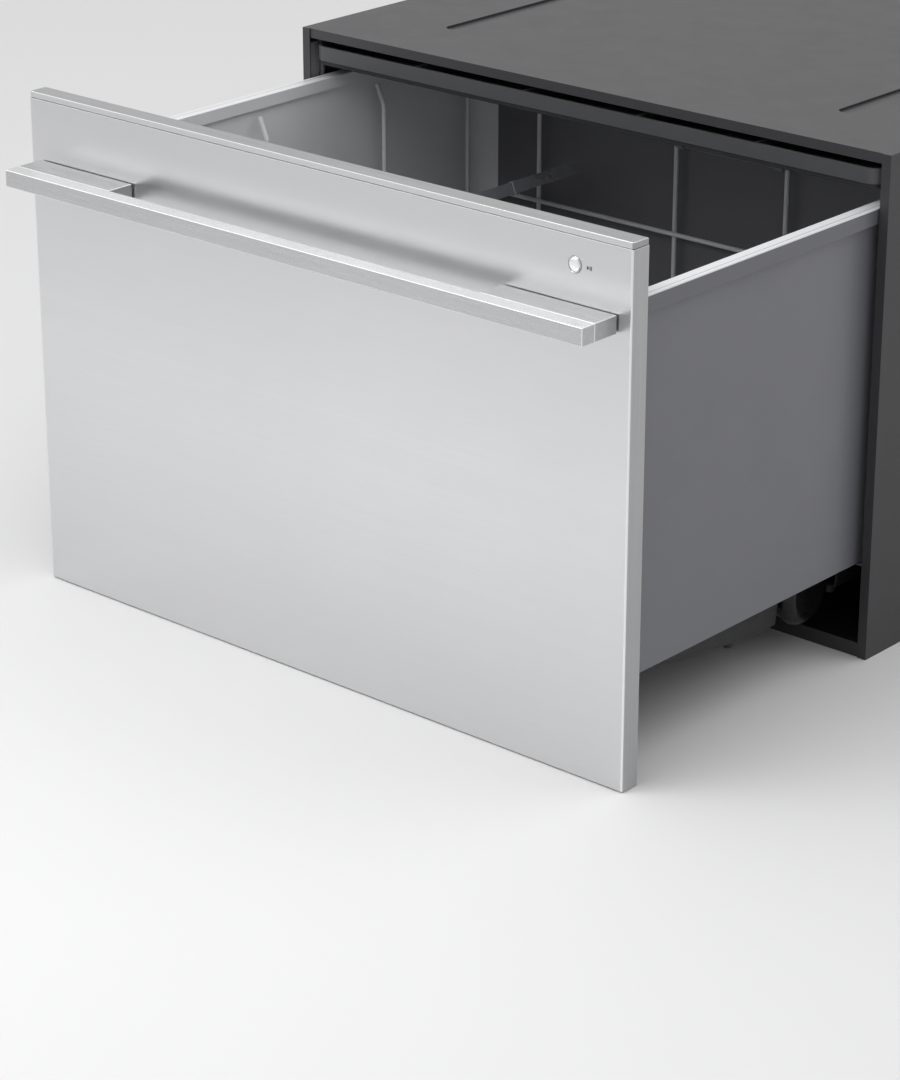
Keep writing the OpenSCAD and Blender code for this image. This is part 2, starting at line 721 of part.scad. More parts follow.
// Rubber bulb seal under the lid's rim
module lid_gasket() {
  color([0.07, 0.07, 0.07]) difference() {
    ring_slab(rim_w - 5, lid_d - 5, rim_r - 2.5, 7, gasket_z, lid_flange_z, lid_y);
    ring_slab(rim_w - 8, lid_d - 8, rim_r - 4, 4, gasket_z + 1.4, lid_flange_z - 1.4, lid_y);
  }
}

// Guide pins at the lid's sides and the rods that its actuators push
module lid_pins() {
  hw = rim_w / 2;
  color([0.72, 0.73, 0.75]) {
    for (s = [-1, 1], y = pin_ys) side(s) translate([hw, y, pin_z]) rotate([0, 90, 0]) {
      translate([0, 0, -lid_wall]) cylinder(h = side_in - 1 - hw + lid_wall, r = pin_r);
      cylinder(h = 1.5, r = pin_r + 1.4);
    }
    for (x = [-1, 1]) translate([x * rod_x, lid_y, boss_top - 4])
      cylinder(h = chassis_h - sheet_t - boss_top + 2.5, r = rod_r);
  }
}

// ---------- Front panel and handle ----------

// Panel's floor plan with its folded front corners
module skin_plan(w, t, r) {
  translate([-w / 2, r]) square([w, t - r]);
  translate([-w / 2 + r, 0]) square([w - 2 * r, t]);
  for (x = [-1, 1]) translate([x * (w / 2 - r), r]) circle(r);
}

handle_screw_xs = [for (s = [-1, 1], d = [-0.5, 0.5]) s * block_mid + d * handle_screw_gap];

module front_panel() {
  color([0.74, 0.745, 0.75]) difference() {
    translate([0, panel_front, panel_bottom]) linear_extrude(skin_top - panel_bottom)
      skin_plan(panel_w, panel_t, fold_r);
    box([-panel_w / 2 + skin_t, panel_front + skin_t, panel_bottom + skin_t],
        [panel_w / 2 - skin_t, panel_back + cut, skin_top + cut]);
    translate([button_x, panel_front - cut, button_z]) rotate([-90, 0, 0])
      cylinder(h = skin_t + 2 * cut, r = button_r + slide_gap + bezel_ring - 0.6);
    for (x = handle_screw_xs) translate([x, panel_front - cut, handle_z]) rotate([-90, 0, 0])
      cylinder(h = skin_t + 2 * cut, r = handle_screw_r + hole_gap);
  }
}

// Cap strip with a tongue that sits inside the skin
module top_cap() {
  tongue = 4;
  color([0.66, 0.665, 0.67]) union() {
    translate([0, panel_front + cap_inset, skin_top + cap_groove]) linear_extrude(cap_h - cap_groove)
      skin_plan(panel_w - 2 * cap_inset, panel_t - cap_inset, fold_r);
    box([-panel_w / 2 + skin_t + hole_gap, panel_front + skin_t + hole_gap, skin_top - tongue],
        [panel_w / 2 - skin_t - hole_gap, panel_back, skin_top + cap_groove + cut]);
  }
}

// Ribbed frame inside the skin, with the plate that closes the panel's back
module panel_frame() {
  half = panel_w / 2 - skin_t - hole_gap;
  y0 = panel_front + skin_t + hole_gap;
  z0 = panel_bottom + skin_t + hole_gap;
  z1 = skin_top - 4 - hole_gap;
  color([0.5, 0.51, 0.52]) difference() {
    union() {
      box([-half, panel_back - frame_t, z0], [half, panel_back, z1]);
      for (x = [-half, half - frame_t]) box([x, y0, z0], [x + frame_t, panel_back, z1]);
      for (z = [z0, z1 - frame_t]) box([-half, y0, z], [half, panel_back, z + frame_t]);
      // upright and level ribs
      for (i = [-2, -1, 0]) box([i * half / 3, y0, z0], [i * half / 3 + frame_t, panel_back, z1]);
      for (i = [1, 2]) box([i * half / 3, y0, z0],
        [i * half / 3 + frame_t, panel_back, dispenser_z - dispenser_h / 2 - frame_t]);
      for (z = [z0 + 0.25 * (z1 - z0), z0 + 0.5 * (z1 - z0)]) box([-half, y0, z], [half, panel_back, z + frame_t]);
      // pegs for the control board
      for (x = board_pegs) translate([x, panel_back - frame_t + 0.5, button_z]) rotate([90, 0, 0])
        cylinder(h = panel_back - frame_t - board_back + 0.5 - 0.1, r = 3);
    }
    // room for the dispenser's pocket and the handle's screw heads
    box([dispenser_x - dispenser_w / 2 + pocket_in - 1, panel_front, dispenser_z - dispenser_h / 2 + pocket_in - 1],
        [dispenser_x + dispenser_w / 2 - pocket_in + 1, panel_back + cut, dispenser_z + dispenser_h / 2 - pocket_in + 1]);
    for (x = handle_screw_xs) translate([x, panel_front, handle_z]) rotate([-90, 0, 0])
      cylinder(h = panel_t - frame_t, r = handle_screw_r + 4);
  }
}

// Spacers that hold the tub to the panel's inner frame
module panel_mounts() {
  color([0.45, 0.46, 0.47])
    for (x = [-0.38 * tub_w, 0.38 * tub_w], z = [skirt_z + 2 * mount_h, dispenser_z - dispenser_h / 2])
      translate([x, panel_back, z - mount_h]) along_y(0, rim_over)
        translate([-mount_w / 2, 0]) chamfered(mount_w, mount_h, mount_h / 8);
}

module handle_bar() {
  color([0.78, 0.785, 0.79]) along_x(-handle_half, handle_half)
    translate([block_front - bar_d, handle_z - handle_h / 2]) chamfered(bar_d, handle_h, handle_chamfer);
}

module handle_block(s) {
  color([0.78, 0.785, 0.79]) side(s) difference() {
    along_y(block_front, panel_front) translate([handle_half - block_w, handle_z - handle_h / 2])
      chamfered(block_w, handle_h, handle_chamfer);
    for (d = [-0.5, 0.5]) translate([block_mid + d * handle_screw_gap, panel_front + cut, handle_z]) rotate([90, 0, 0])
      cylinder(h = 15 + cut, r = handle_screw_r + hole_gap);
  }
}

// Screws from inside the skin into the handle's blocks
module handle_screws() {
  head_h = 3;
  color([0.6, 0.61, 0.63]) for (x = handle_screw_xs) translate([x, panel_front + skin_t, handle_z]) {
    rotate([-90, 0, 0]) difference() {
      cylinder(h = head_h, r = handle_screw_r + 2.2);
      translate([0, 0, head_h - 1.6]) cylinder(h = 3, r = 2, $fn = 6);
    }
    rotate([90, 0, 0]) cylinder(h = skin_t + 13, r = handle_screw_r);
  }
}

// ---------- Start button ----------

// Depths behind the panel's face
bezel_deep = 3;
flange_t = 1;
switch_face = bezel_deep + slide_gap + flange_t + 2.7;
board_front = panel_front + switch_face + 4;
board_back = board_front + 1.6;
board_pegs = [button_x - 28, button_x + 28];

module button_bezel() {
  ring_r = button_r + slide_gap + bezel_ring;
  color([0.62, 0.63, 0.64]) translate([button_x, panel_front, button_z]) rotate([-90, 0, 0]) difference() {
    union() {
      translate([0, 0, -bezel_proud]) cylinder(h = bezel_proud, r1 = ring_r - 0.5, r2 = ring_r);
      cylinder(h = bezel_deep, r = ring_r - 0.6 - hole_gap);
    }
    translate([0, 0, -bezel_proud - cut]) cylinder(h = bezel_deep + bezel_proud + 2 * cut, r = button_r + slide_gap);
  }
}

module start_button() {
  dome = 0.5;
  color([0.9, 0.91, 0.92]) translate([button_x, panel_front, button_z]) rotate([-90, 0, 0]) union() {
    translate([0, 0, -bezel_proud - dome]) cylinder(h = dome, r1 = button_r - 0.8, r2 = button_r);
    translate([0, 0, -bezel_proud]) cylinder(h = bezel_proud + bezel_deep + slide_gap, r = button_r);
    translate([0, 0, bezel_deep + slide_gap]) cylinder(h = flange_t, r = button_r + 1.2);
    translate([0, 0, bezel_deep + slide_gap + flange_t]) cylinder(h = 1.2, r = 1.5);
  }
}

// Board with the switch that the button presses
module control_board() {
  color([0.1, 0.3, 0.16]) {
    box([button_x - 40, board_front, button_z - 13], [button_x + 40, board_back, button_z + 13]);
    translate([button_x, board_front - 1.5, button_z]) cube([6, 3, 6], center = true);
    translate([button_x, board_front - 3, button_z]) rotate([90, 0, 0]) cylinder(h = 1, r = 1.7);
    for (x = [-24, 22]) translate([button_x + x, board_front - 1.5, button_z]) cube([12, 3, 9], center = true);
  }
}

// ---------- Tub ----------

// Space inside the tub, with rounded corners and rounded floor edges
module cavity() {
  r = tub_corner_r;
  top = rim_z + cut;
  intersection() {
    slab(cavity_w, cavity_l, r, floor_z, top);
    along_y(-cavity_l, cavity_l) floor_profile(cavity_w, r, top);
    along_x(-cavity_w, cavity_w) floor_profile(cavity_l, r, top);
  }
}

module floor_profile(w, r, top) {
  translate([-w / 2, floor_z + r]) square([w, top - floor_z - r]);
  translate([-w / 2 + r, floor_z]) square([w - 2 * r, r + cut]);
  for (x = [-1, 1]) translate([x * (w / 2 - r), floor_z + r]) circle(r);
}

module tub() {
  lip_in = 3;
  color([0.45, 0.455, 0.475]) translate([0, tub_y, 0]) {
    difference() {
      union() {
        slab(tub_w, tub_l, tub_outer_r, skirt_z, rim_z - rim_t);
        slab(rim_w, tub_d, rim_r, rim_z - rim_t, rim_z);
        ring_slab(rim_w, tub_d, rim_r, rim_t, rim_z - rim_band_h, rim_z - rim_t);
      }
      intersection() {
        cavity();
        slab(cavity_w + 1, cavity_l + 1, tub_corner_r + 0.5, floor_z - cut, rim_z - rim_lip_h);
      }
      slab(cavity_w - 2 * lip_in, cavity_l - 2 * lip_in, tub_corner_r - lip_in, rim_z - rim_lip_h - cut, rim_z + cut);
      // hollow under the floor, inside the skirt
      slab(tub_w - 2 * tub_wall, tub_l - 2 * tub_wall, tub_outer_r - 2, skirt_z - cut, floor_under);
      translate([0, 0, floor_under - cut]) cylinder(h = tub_wall + 2 * cut, r = bowl_r);
      // open corners at the back of the skirt, where the runners pass
      for (s = [-1, 1]) side(s) box([runner_back - bracket_t - 2, tub_l / 2 - tub_outer_r - 1, skirt_z - cut],
        [tub_w / 2 + cut, tub_l / 2 + cut, floor_under]);
      // window in the front wall for the dispenser
      box([dispenser_x - dispenser_w / 2 + pocket_in - 0.5, -tub_l / 2 - cut, dispenser_z - dispenser_h / 2 + pocket_in - 0.5],
          [dispenser_x + dispenser_w / 2 - pocket_in + 0.5, -cavity_l / 2 + cut, dispenser_z + dispenser_h / 2 - pocket_in + 0.5]);
    }
    bowl();
    // ledges that the basket stands on
    for (x = [-1, 1], y = [-150, 150]) translate([x * (cavity_w / 2 - 13), y, ledge_top - 4])
      cube([28, 36, 8], center = true);
  }
}

// Sump bowl with its filter ledge, shaft hole and pump hole
module bowl() {
  difference() {
    union() {
      translate([0, 0, bowl_z - tub_wall]) cylinder(h = floor_under - bowl_z + tub_wall, r = bowl_out_r);
    }
    difference() {
      translate([0, 0, bowl_z]) cylinder(h = floor_z - bowl_z, r = bowl_r);
      translate([0, 0, filter_z - ledge_h]) difference() {
        cylinder(h = ledge_h, r = bowl_r + cut);
        translate([0, 0, -cut]) cylinder(h = ledge_h + 2 * cut, r = bowl_r - 5);
      }
    }
    translate([0, 0, bowl_z - tub_wall - cut]) cylinder(h = tub_wall + 2 * cut, r = rotor_shaft_r + 0.6);
    translate([0, pump_y - tub_y, pump_z + 14]) rotate([0, 90, 0]) cylinder(h = 200, r = 9.4);
  }
}

// Underside of the pan in side view, as distances behind the panel's face and heights
pan_low = [[62, 75], [117, 50], [192, 39], [241, 36], [318, 42]];
pan_half = 252;

// Dark pan under the tub, with a belly that is deepest near its front
module tub_pan() {
  wall = 2;
  half_top = pan_half + 6;
  half_low = pan_half;
  color([0.2, 0.2, 0.195]) difference() {
    intersection() {
      pan_side(0);
      pan_front(half_top, half_low, 0);
    }
    intersection() {
      pan_side(wall);
      pan_front(half_top - wall, half_low - wall, wall);
    }
    // openings for the wash motor and the drain pump
    translate([0, tub_y, 20]) cylinder(h = 60, r = motor_r + 5);
    box([volute_x - 8, pump_y - pump_r - 8, 20], [half_top + cut, pump_y + pump_r + 14, floor_under + 5]);
  }
}

// Side view of the pan, thinned by its wall
module pan_side(wall) {
  y = panel_front;
  top = floor_under - seat + (wall > 0 ? cut : 0);
  back = panel_back + tub_d - rim_over - tub_wall - 8;
  low = pan_low;
  along_x(-300, 300) polygon([
    [y + low[0][0] + wall, top], [y + low[0][0] + wall, low[0][1] + wall],
    for (i = [1:4]) [y + low[i][0], low[i][1] + wall],
    [back - wall, low[4][1] + wall], [back - wall, top]
  ]);
}

// Front view of the pan
module pan_front(half_top, half_low, wall) {
  along_y(panel_front, chassis_back_y) polygon([
    [-half_top, floor_under + 5], [-half_low, 34 + wall], [half_low, 34 + wall], [half_top, floor_under + 5]
  ]);
}

// Round clips that hold the pan, proud of its underside
clip_r = 5.2;
clip_backs = [pan_low[2][0] + 6, pump_y - panel_front + 47];

module pan_clips() {
  color([0.1, 0.1, 0.1]) for (x = [-1, 1], d = clip_backs)
    translate([x * (pan_half - clip_r - 3), panel_front + d, min(lookup(d - clip_r, pan_low), lookup(d + clip_r, pan_low))])
      translate([0, 0, -6.1]) cylinder(h = 6, r1 = clip_r - 1.2, r2 = clip_r);
}

module filter_plate() {
  slot_in = volute_r + 6;
  slot_out = bowl_r - 16;
  clear = asin((drain_filter_r + 5) / drain_filter_at);
  color([0.55, 0.56, 0.58]) translate([0, tub_y, 0]) difference() {
    union() {
      translate([0, 0, filter_z + seat]) cylinder(h = filter_t, r = bowl_r - 0.5);
      translate([0, 0, filter_z + seat + filter_t - 0.5]) cylinder(h = 3.5, r = outlet_r + 8);
      // outlet pipe and the cover over the rotor
      translate([0, 0, filter_z - 12]) cylinder(h = 13, r = volute_r);
      translate([0, 0, filter_z]) cylinder(h = arm_z + arm_h - 3.5 - filter_z, r = outlet_r);
    }
    translate([0, 0, filter_z - 12 - cut]) cylinder(h = 12, r = volute_r - 3);
    translate([0, 0, filter_z - 5]) cylinder(h = 60, r = outlet_r - 4);
    rotate([0, 0, drain_filter_turn]) translate([drain_filter_at, 0, filter_z - cut])
      cylinder(h = 3 * filter_t, r = drain_filter_r + slide_gap);
    for (i = [0:filter_slots - 1]) let (a = i * 360 / filter_slots)
      if (abs(a - drain_filter_turn) > clear) rotate([0, 0, a]) box(
        [slot_in, -1.25, filter_z - cut], [slot_out, 1.25, filter_z + 3 * filter_t]);
  }
}

module drain_filter() {
  top = filter_z + seat + filter_t;
  color([0.35, 0.36, 0.38]) translate([0, tub_y, 0]) rotate([0, 0, drain_filter_turn])
    translate([drain_filter_at, 0, 0]) {
      difference() {
        union() {
          translate([0, 0, bowl_z + 4]) cylinder(h = top - bowl_z - 3, r = drain_filter_r);
          translate([0, 0, top + seat]) cylinder(h = 2.5, r = drain_filter_r + 4);
        }
        translate([0, 0, bowl_z + 6]) cylinder(h = 60, r = drain_filter_r - 2);
        // windows in the filter's wall
        for (a = [0, 60, 120]) rotate([0, 0, a]) translate([0, 0, bowl_z + 21])
          cube([3 * drain_filter_r, 12, 22], center = true);
      }
      // finger bar across the top
      box([-drain_filter_r + 1, -3, top - 4], [drain_filter_r - 1, 3, top + 2.5]);
    }
}

module heater_ring() {
  z = bowl_z + 16;
  color([0.72, 0.72, 0.74]) translate([0, tub_y, 0]) {
    translate([0, 0, z]) rotate_extrude() translate([heater_r, 0]) circle(heater_tube_r);
    for (a = [60, 180, 300]) rotate([0, 0, a]) translate([heater_r, 0, bowl_z + seat])
      cylinder(h = z - bowl_z, r = heater_tube_r - 0.6);
  }
}

module wash_motor() {
  top = bowl_z - tub_wall;
  color([0.24, 0.24, 0.25]) translate([0, tub_y, 0]) difference() {
    union() {
      translate([0, 0, motor_z]) cylinder(h = motor_h, r = motor_r - 4);
      translate([0, 0, motor_z + 4]) cylinder(h = motor_h - 8, r = motor_r);
      translate([0, 0, top - 4]) cylinder(h = 4, r = motor_r - 2);
      for (a = motor_lugs) rotate([0, 0, a]) translate([lug_r, 0, top - 5]) cylinder(h = 5, r = 7);
      for (a = motor_lugs) rotate([0, 0, a]) box([motor_r - 8, -7, top - 5], [lug_r, 7, top]);
    }
    translate([0, 0, top - 14]) cylinder(h = 20, r = rotor_shaft_r + 0.4);
    for (a = motor_lugs) rotate([0, 0, a]) translate([lug_r, 0, top - 10]) cylinder(h = 20, r = 2.4);
    // cooling grooves round the housing
    for (z = [motor_z + 9, motor_z + 15, motor_z + 21]) translate([0, 0, z]) difference() {
      cylinder(h = 2.4, r = motor_r + cut);
      cylinder(h = 2.4, r = motor_r - 2);
    }
  }
}

motor_lugs = [45, 135, 225, 315];
lug_r = motor_r + 5;

module motor_screws() {
  color([0.6, 0.61, 0.63]) translate([0, tub_y, 0]) for (a = motor_lugs) rotate([0, 0, a])
    translate([lug_r, 0, bowl_z - tub_wall - 5]) {
      translate([0, 0, -3]) cylinder(h = 3, r = 4.2, $fn = 6);
      cylinder(h = 5, r = 2.2);
    }
}

// Drain pump lying across the tub's underside
module drain_pump() {
  body_x = volute_x + volute_w;
  color([0.06, 0.06, 0.065]) translate([0, pump_y, 0]) {
    difference() {
      union() {
        translate([volute_x, 0, pump_z]) rotate([0, 90, 0]) cylinder(h = volute_w, r = pump_r + 2);
        translate([body_x - 1, 0, pump_z]) rotate([0, 90, 0]) cylinder(h = pump_end - body_x - 8, r = pump_r - 3);
        // rounded end cover
        translate([pump_end - 10, 0, pump_z]) rotate([0, 90, 0]) rotate_extrude() intersection() {
          square([pump_r, 10]);
          translate([pump_r - 10, 0]) union() { circle(10); translate([-40, -10]) square([40, 20]); }
        }
        // inlet from the bowl and outlet to the hose
        translate([bowl_r - 6, 0, pump_z + 14]) rotate([0, 90, 0]) cylinder(h = volute_x - bowl_r + 8, r = 9);
        translate([volute_x + volute_w / 2, pump_r - 6, pump_z + 18]) rotate([-90, 0, 0]) cylinder(h = 34, r = 8);
        // saddles up to the tub's floor
        for (x = [volute_x + 6, pump_end - 34]) box([x, -14, pump_z], [x + 8, 14, floor_under - seat]);
        for (x = [volute_x + 2, pump_end - 38]) box([x, -16, floor_under - seat - 3], [x + 16, 16, floor_under - seat]);
      }
      translate([bowl_r - 10, 0, pump_z + 14]) rotate([0, 90, 0]) cylinder(h = 24, r = 7);
      translate([volute_x + volute_w / 2, pump_r, pump_z + 18]) rotate([-90, 0, 0]) cylinder(h = 40, r = 6);
    }
  }
}

// ---------- Wash parts that turn ----------

module spray_arm() {
  root = 26;
  tip = 15;
  color([0.42, 0.43, 0.45]) translate([0, tub_y, arm_z]) difference() {
    union() {
      translate([0, 0, -2]) cylinder(h = arm_h + 4, r = arm_hub_r);
      linear_extrude(arm_h) for (m = [0, 1]) mirror([m, 0]) mirror([0, m]) {
        polygon([[0, -root], [arm_r - tip, -tip], [arm_r - tip, tip], [0, root]]);
        translate([arm_r - tip, 0]) circle(tip);
      }
      // raised spine along the blades
      for (m = [0, 1]) mirror([m, 0]) box([arm_hub_r - 2, -5, arm_h - 1], [arm_r - 26, 5, arm_h + 2]);
    }
    // seat of the hub on the outlet pipe
    translate([0, 0, -2 - cut]) cylinder(h = arm_h - 1 + cut, r = outlet_r + slide_gap);
    // nozzles
    for (m = [0, 180], i = [0:3]) rotate([0, 0, m]) translate([60 + 38 * i, i % 2 == 0 ? 9 : -9, arm_h - 3])
      cylinder(h = 8, r = 1.6);
  }
}

module wash_rotor() {
  color([0.5, 0.51, 0.53]) translate([0, tub_y, bowl_z]) union() {
    translate([0, 0, -15]) cylinder(h = 20, r = rotor_shaft_r);
    translate([0, 0, 4]) cylinder(h = 3, r = rotor_r);
    translate([0, 0, 4]) cylinder(h = 20, r1 = 13, r2 = 8);
    for (i = [0:rotor_vanes - 1]) rotate([0, 0, i * 360 / rotor_vanes])
      translate([9, 0, 5]) rotate([0, 0, 25]) box([0, -1.4, 0], [rotor_r - 15, 1.4, 15]);
  }
}

// ---------- Dish basket ----------

// Rounded loop of wire at a height
module wire_loop(hw, hl, r, z, d) {
  for (s = [-1, 1]) {
    wire([s * hw, -hl + r, z], [s * hw, hl - r, z], d);
    wire([-hw + r, s * hl, z], [hw - r, s * hl, z], d);
  }
  for (x = [-1, 1], y = [-1, 1]) translate([x * (hw - r), y * (hl - r), z]) mirror([x < 0 ? 1 : 0, 0]) mirror([0, y < 0 ? 1 : 0])
    rotate_extrude(angle = 90) translate([r, 0]) circle(d = d);
}

// Upright wire with its end bent outwards: at floor point p, leaning along direction n
module upright(p, n) {
  top = [p.x, p.y, upright_z];
  tip = top + [n.x * tip_out, n.y * tip_out, tip_up];
  wire([p.x, p.y, frame_z + frame_wire / 2 + 0.1], top, mesh_wire);
  translate(top) sphere(d = mesh_wire + 0.15);
  wire(top, tip, mesh_wire);
}

module basket() {
  half = (cross_count - 1) / 2;
  long_half = (long_count - 1) / 2;
  color([0.82, 0.83, 0.84]) translate([0, tub_y, 0]) {
    wire_loop(basket_hw, basket_hl, basket_r, frame_z, frame_wire);
    for (i = [-half:half]) wire([-basket_hw, i * cross_pitch, frame_z], [basket_hw, i * cross_pitch, frame_z], mesh_wire);
    for (i = [-long_half:long_half])
      wire([i * long_pitch, -basket_hl, long_z], [i * long_pitch, basket_hl, long_z], mesh_wire);
  }
}

// Rail that runs round inside the uprights
module basket_rail() {
  color([0.82, 0.83, 0.84]) translate([0, tub_y, 0]) wire_loop(rail_hw, rail_hl, basket_r - 3, rail_z, mesh_wire);
}

// Uprights that stand on the frame wire round the basket
module basket_uprights() {
  color([0.82, 0.83, 0.84]) translate([0, tub_y, 0]) {
    for (s = [-1, 1], y = side_uprights) upright([s * basket_hw, y], [s, 0]);
    for (s = [-1, 1], x = end_uprights) upright([x, s * basket_hl], [0, s * 0.3]);
  }
}

// One row of tines on its spine, along Y at x, standing from height z
module tine_row(x, z) {
  translate([x, tub_y, z]) {
    wire([0, -spine_len / 2, 0], [0, spine_len / 2, 0], spine_wire);
    for (i = [0:tine_count - 1]) let (y = (i - (tine_count - 1) / 2) * tine_pitch) {
      wire([0, y, 0], [0, y, tine_h - 2], tine_wire);
      translate([0, y, tine_h - 2.2]) cylinder(h = 2.2, d1 = tine_wire, d2 = tine_wire - 1.6);
    }
  }
}

module plate_tines() {
  color([0.82, 0.83, 0.84]) for (x = fixed_rows) tine_row(x, fixed_spine_z);
}

module tine_rack(i) {
  color([0.75, 0.76, 0.78]) tine_row(fold_rows[i], fold_spine_z);
}

// Blocks on the floor wires that the folding rows turn in
module tine_clips() {
  color([0.4, 0.41, 0.43]) for (x = fold_rows, y = clip_ys) translate([x, tub_y + y, 0]) difference() {
    along_y(-clip_w / 2, clip_w / 2) translate([-6, clip_z]) chamfered(12, fold_spine_z + 5.5 - clip_z, 1.5);
    translate([0, -clip_w, fold_spine_z]) rotate([-90, 0, 0]) cylinder(h = 2 * clip_w, d = spine_wire + 2 * slide_gap);
  }
}

// Grip bars between the basket's middle uprights at front and back
module basket_grips() {
  z = upright_z - 22;
  reach = end_uprights[2] - mesh_wire / 2 - seat;
  color([0.4, 0.41, 0.43]) for (s = [-1, 1]) translate([0, tub_y + s * basket_hl, z]) rotate([0, 90, 0]) {
    translate([0, 0, -reach]) cylinder(h = 2 * reach, r = 5);
    for (x = [-1, 1]) translate([0, 0, x * (reach - 4) - 4]) cylinder(h = 8, r = 6.5);
  }
}

module cutlery_basket() {
  w = 92;
  l = 84;
  h = 112;
  wall = 2;
  slot = 3.4;
  x0 = -basket_hw + 20;
  y0 = tub_y - basket_hl + 18;
  z0 = long_z + mesh_wire / 2 + seat;
  color([0.5, 0.51, 0.53]) translate([x0, y0, z0]) difference() {
    union() {
      difference() {
        cube([w, l, h]);
        translate([wall, wall, wall]) cube([w - 2 * wall, l - 2 * wall, h]);
      }
      // divider with its carrying grip
      box([wall, l / 2 - 1, wall], [w - wall, l / 2 + 1, h]);
      box([w / 2 - 28, l / 2 - 2, h - 4], [w / 2 + 28, l / 2 + 2, h + 16]);
    }
    // drain slots in the walls and floor
    for (i = [0:6], z = [14, 60]) box([11 + i * 11.2, -cut, z], [11 + slot + i * 11.2, l + cut, z + 34]);
    for (i = [0:5], z = [14, 60]) box([-cut, 10 + i * 12, z], [w + cut, 10 + slot + i * 12, z + 34]);
    for (i = [0:6], y = [8, 46]) box([11 + i * 11.2, y, -cut], [11 + slot + i * 11.2, y + 28, wall + cut]);
    box([w / 2 - 20, l / 2 - 5, h + 1], [w / 2 + 20, l / 2 + 5, h + 11]);
  }
}

// ---------- Cup rack ----------

rack_x = -rail_hw;

// Flat outline of the rack's strips and slats, from the hinge line at x = 0
module rack_plate(first, y0, y1) {
  translate([first, y0]) square([14, y1 - y0]);
  translate([cup_rack_w / 2, y0]) square([6, y1 - y0]);
  translate([cup_rack_w - 4, y0]) square([2, y1 - y0]);
  for (y = [y0 : slat_pitch : y1 - 4]) translate([first + 1, y]) square([cup_rack_w - first - 2, 4]);
}

// Drawn flat with the hinge at the origin, then turned up to its slope
module cup_rack() {
  first = barrel_r + 1.5;
  y0 = rack_start;
  y1 = rack_start + cup_rack_len;
  low = rack_t / 2 - cup_strip_h;
  color([0.42, 0.43, 0.45, 0.8]) translate([rack_x, tub_y, rail_z]) difference() {
    union() {
      rotate([0, -cup_rack_slope, 0]) {
        translate([0, 0, -rack_t / 2]) linear_extrude(rack_t) rack_plate(first, y0, y1);
        // strip hanging from the free edge, with its raised joints
        box([cup_rack_w - 3, y0 - 0.5, low], [cup_rack_w, y1 + 0.5, rack_t / 2 + 0.4]);
        for (y = [y0 + 6 : 80 : y1 - 8]) box([cup_rack_w - 4, y, low - 1], [cup_rack_w + 0.8, y + 5, rack_t / 2 + 1]);
        // arms from the plate to the hinge barrels
        for (y = rack_barrels) box([0, y - barrel_w / 2 + 2, -1.1], [first + 6, y + barrel_w / 2 - 2, 1.1]);
      }
      for (y = rack_barrels) translate([0, y - barrel_w / 2, 0]) rotate([-90, 0, 0]) cylinder(h = barrel_w, r = barrel_r);
      // heels that rest against the uprights
      for (i = [1:3]) along_y(side_uprights[i] - 3, side_uprights[i] + 3)
        polygon([[heel_x, -heel_h], [heel_x + 5, -heel_h], [19, 6.2], [13, 5.2], [heel_x, 5 - heel_h]]);
    }
    for (y = rack_barrels) translate([0, y - barrel_w / 2 - cut, 0]) rotate([-90, 0, 0])
      cylinder(h = barrel_w + 2 * cut, d = mesh_wire + 2 * slide_gap);
  }
}

// Clear of the uprights' inner side by the sliding gap
heel_x = rail_hw - basket_hw + mesh_wire / 2 + slide_gap;
heel_h = 12.5;

// ---------- Detergent dispenser ----------

module dispenser_body() {
  hx = dispenser_w / 2;
  hz = dispenser_h / 2;
  color([0.5, 0.51, 0.53]) difference() {
    union() {
      along_y(front_in + seat, front_in + seat + plate_t) translate([dispenser_x - hx, dispenser_z - hz])
        chamfered(dispenser_w, dispenser_h, 6);
      box([dispenser_x - hx + pocket_in, front_in - pocket_d, dispenser_z - hz + pocket_in],
          [dispenser_x + hx - pocket_in, front_in + plate_t, dispenser_z + hz - pocket_in]);
      // ears that hold the flap's pin
      for (x = [-1, 1]) translate([cup_x + x * (cup_w / 2 + 3.5), flap_y, flap_z]) rotate([0, 90, 0])
        cylinder(h = 4, r = 3, center = true);
      for (x = [-1, 1]) translate([cup_x + x * (cup_w / 2 + 3.5) - 2, front_in + 1, flap_z - 3])
        cube([4, flap_y - front_in - 1, 6]);
    }
    // detergent cup
    along_y(front_in - pocket_d + 3, front_in + plate_t + cut) translate([cup_x - cup_w / 2, dispenser_z - cup_h / 2])
      chamfered(cup_w, cup_h, 7);
    // rinse aid filler
    translate([cap_x, front_in - pocket_d + 4, dispenser_z]) rotate([-90, 0, 0]) cylinder(h = 40, r = 11);
    translate([cup_x, flap_y, flap_z]) rotate([0, 90, 0]) cylinder(h = cup_w + 20, r = flap_pin_r + slide_gap, center = true);
  }
}

module rinse_cap() {
  y = front_in + plate_t + 2 * seat;
  color([0.3, 0.45, 0.6]) translate([cap_x, y, dispenser_z]) rotate([-90, 0, 0]) union() {
    translate([0, 0, -10]) cylinder(h = 11, r = 10.6);
    cylinder(h = 3, r1 = 15, r2 = 14);
    translate([0, 0, 4]) cube([20, 4, 4], center = true);
  }
}

module dispenser_lid() {
  t = 2.4;
  y = front_in + plate_t + seat + slide_gap;
  low = dispenser_z - cup_h / 2 - 4;
  color([0.62, 0.63, 0.65]) union() {
    along_y(y, y + t) translate([cup_x - cup_w / 2 - 1, low]) chamfered(cup_w + 2, flap_z - low, 3);
    // latch nose
    along_y(y, y + t + 2) translate([cup_x - 8, low]) chamfered(16, 7, 1.5);
    translate([cup_x, flap_y, flap_z]) rotate([0, 90, 0]) {
      cylinder(h = cup_w + 2, r = 2.4, center = true);
      cylinder(h = cup_w + 10, r = flap_pin_r, center = true);
    }
  }
}

// ---------- Nodes ----------

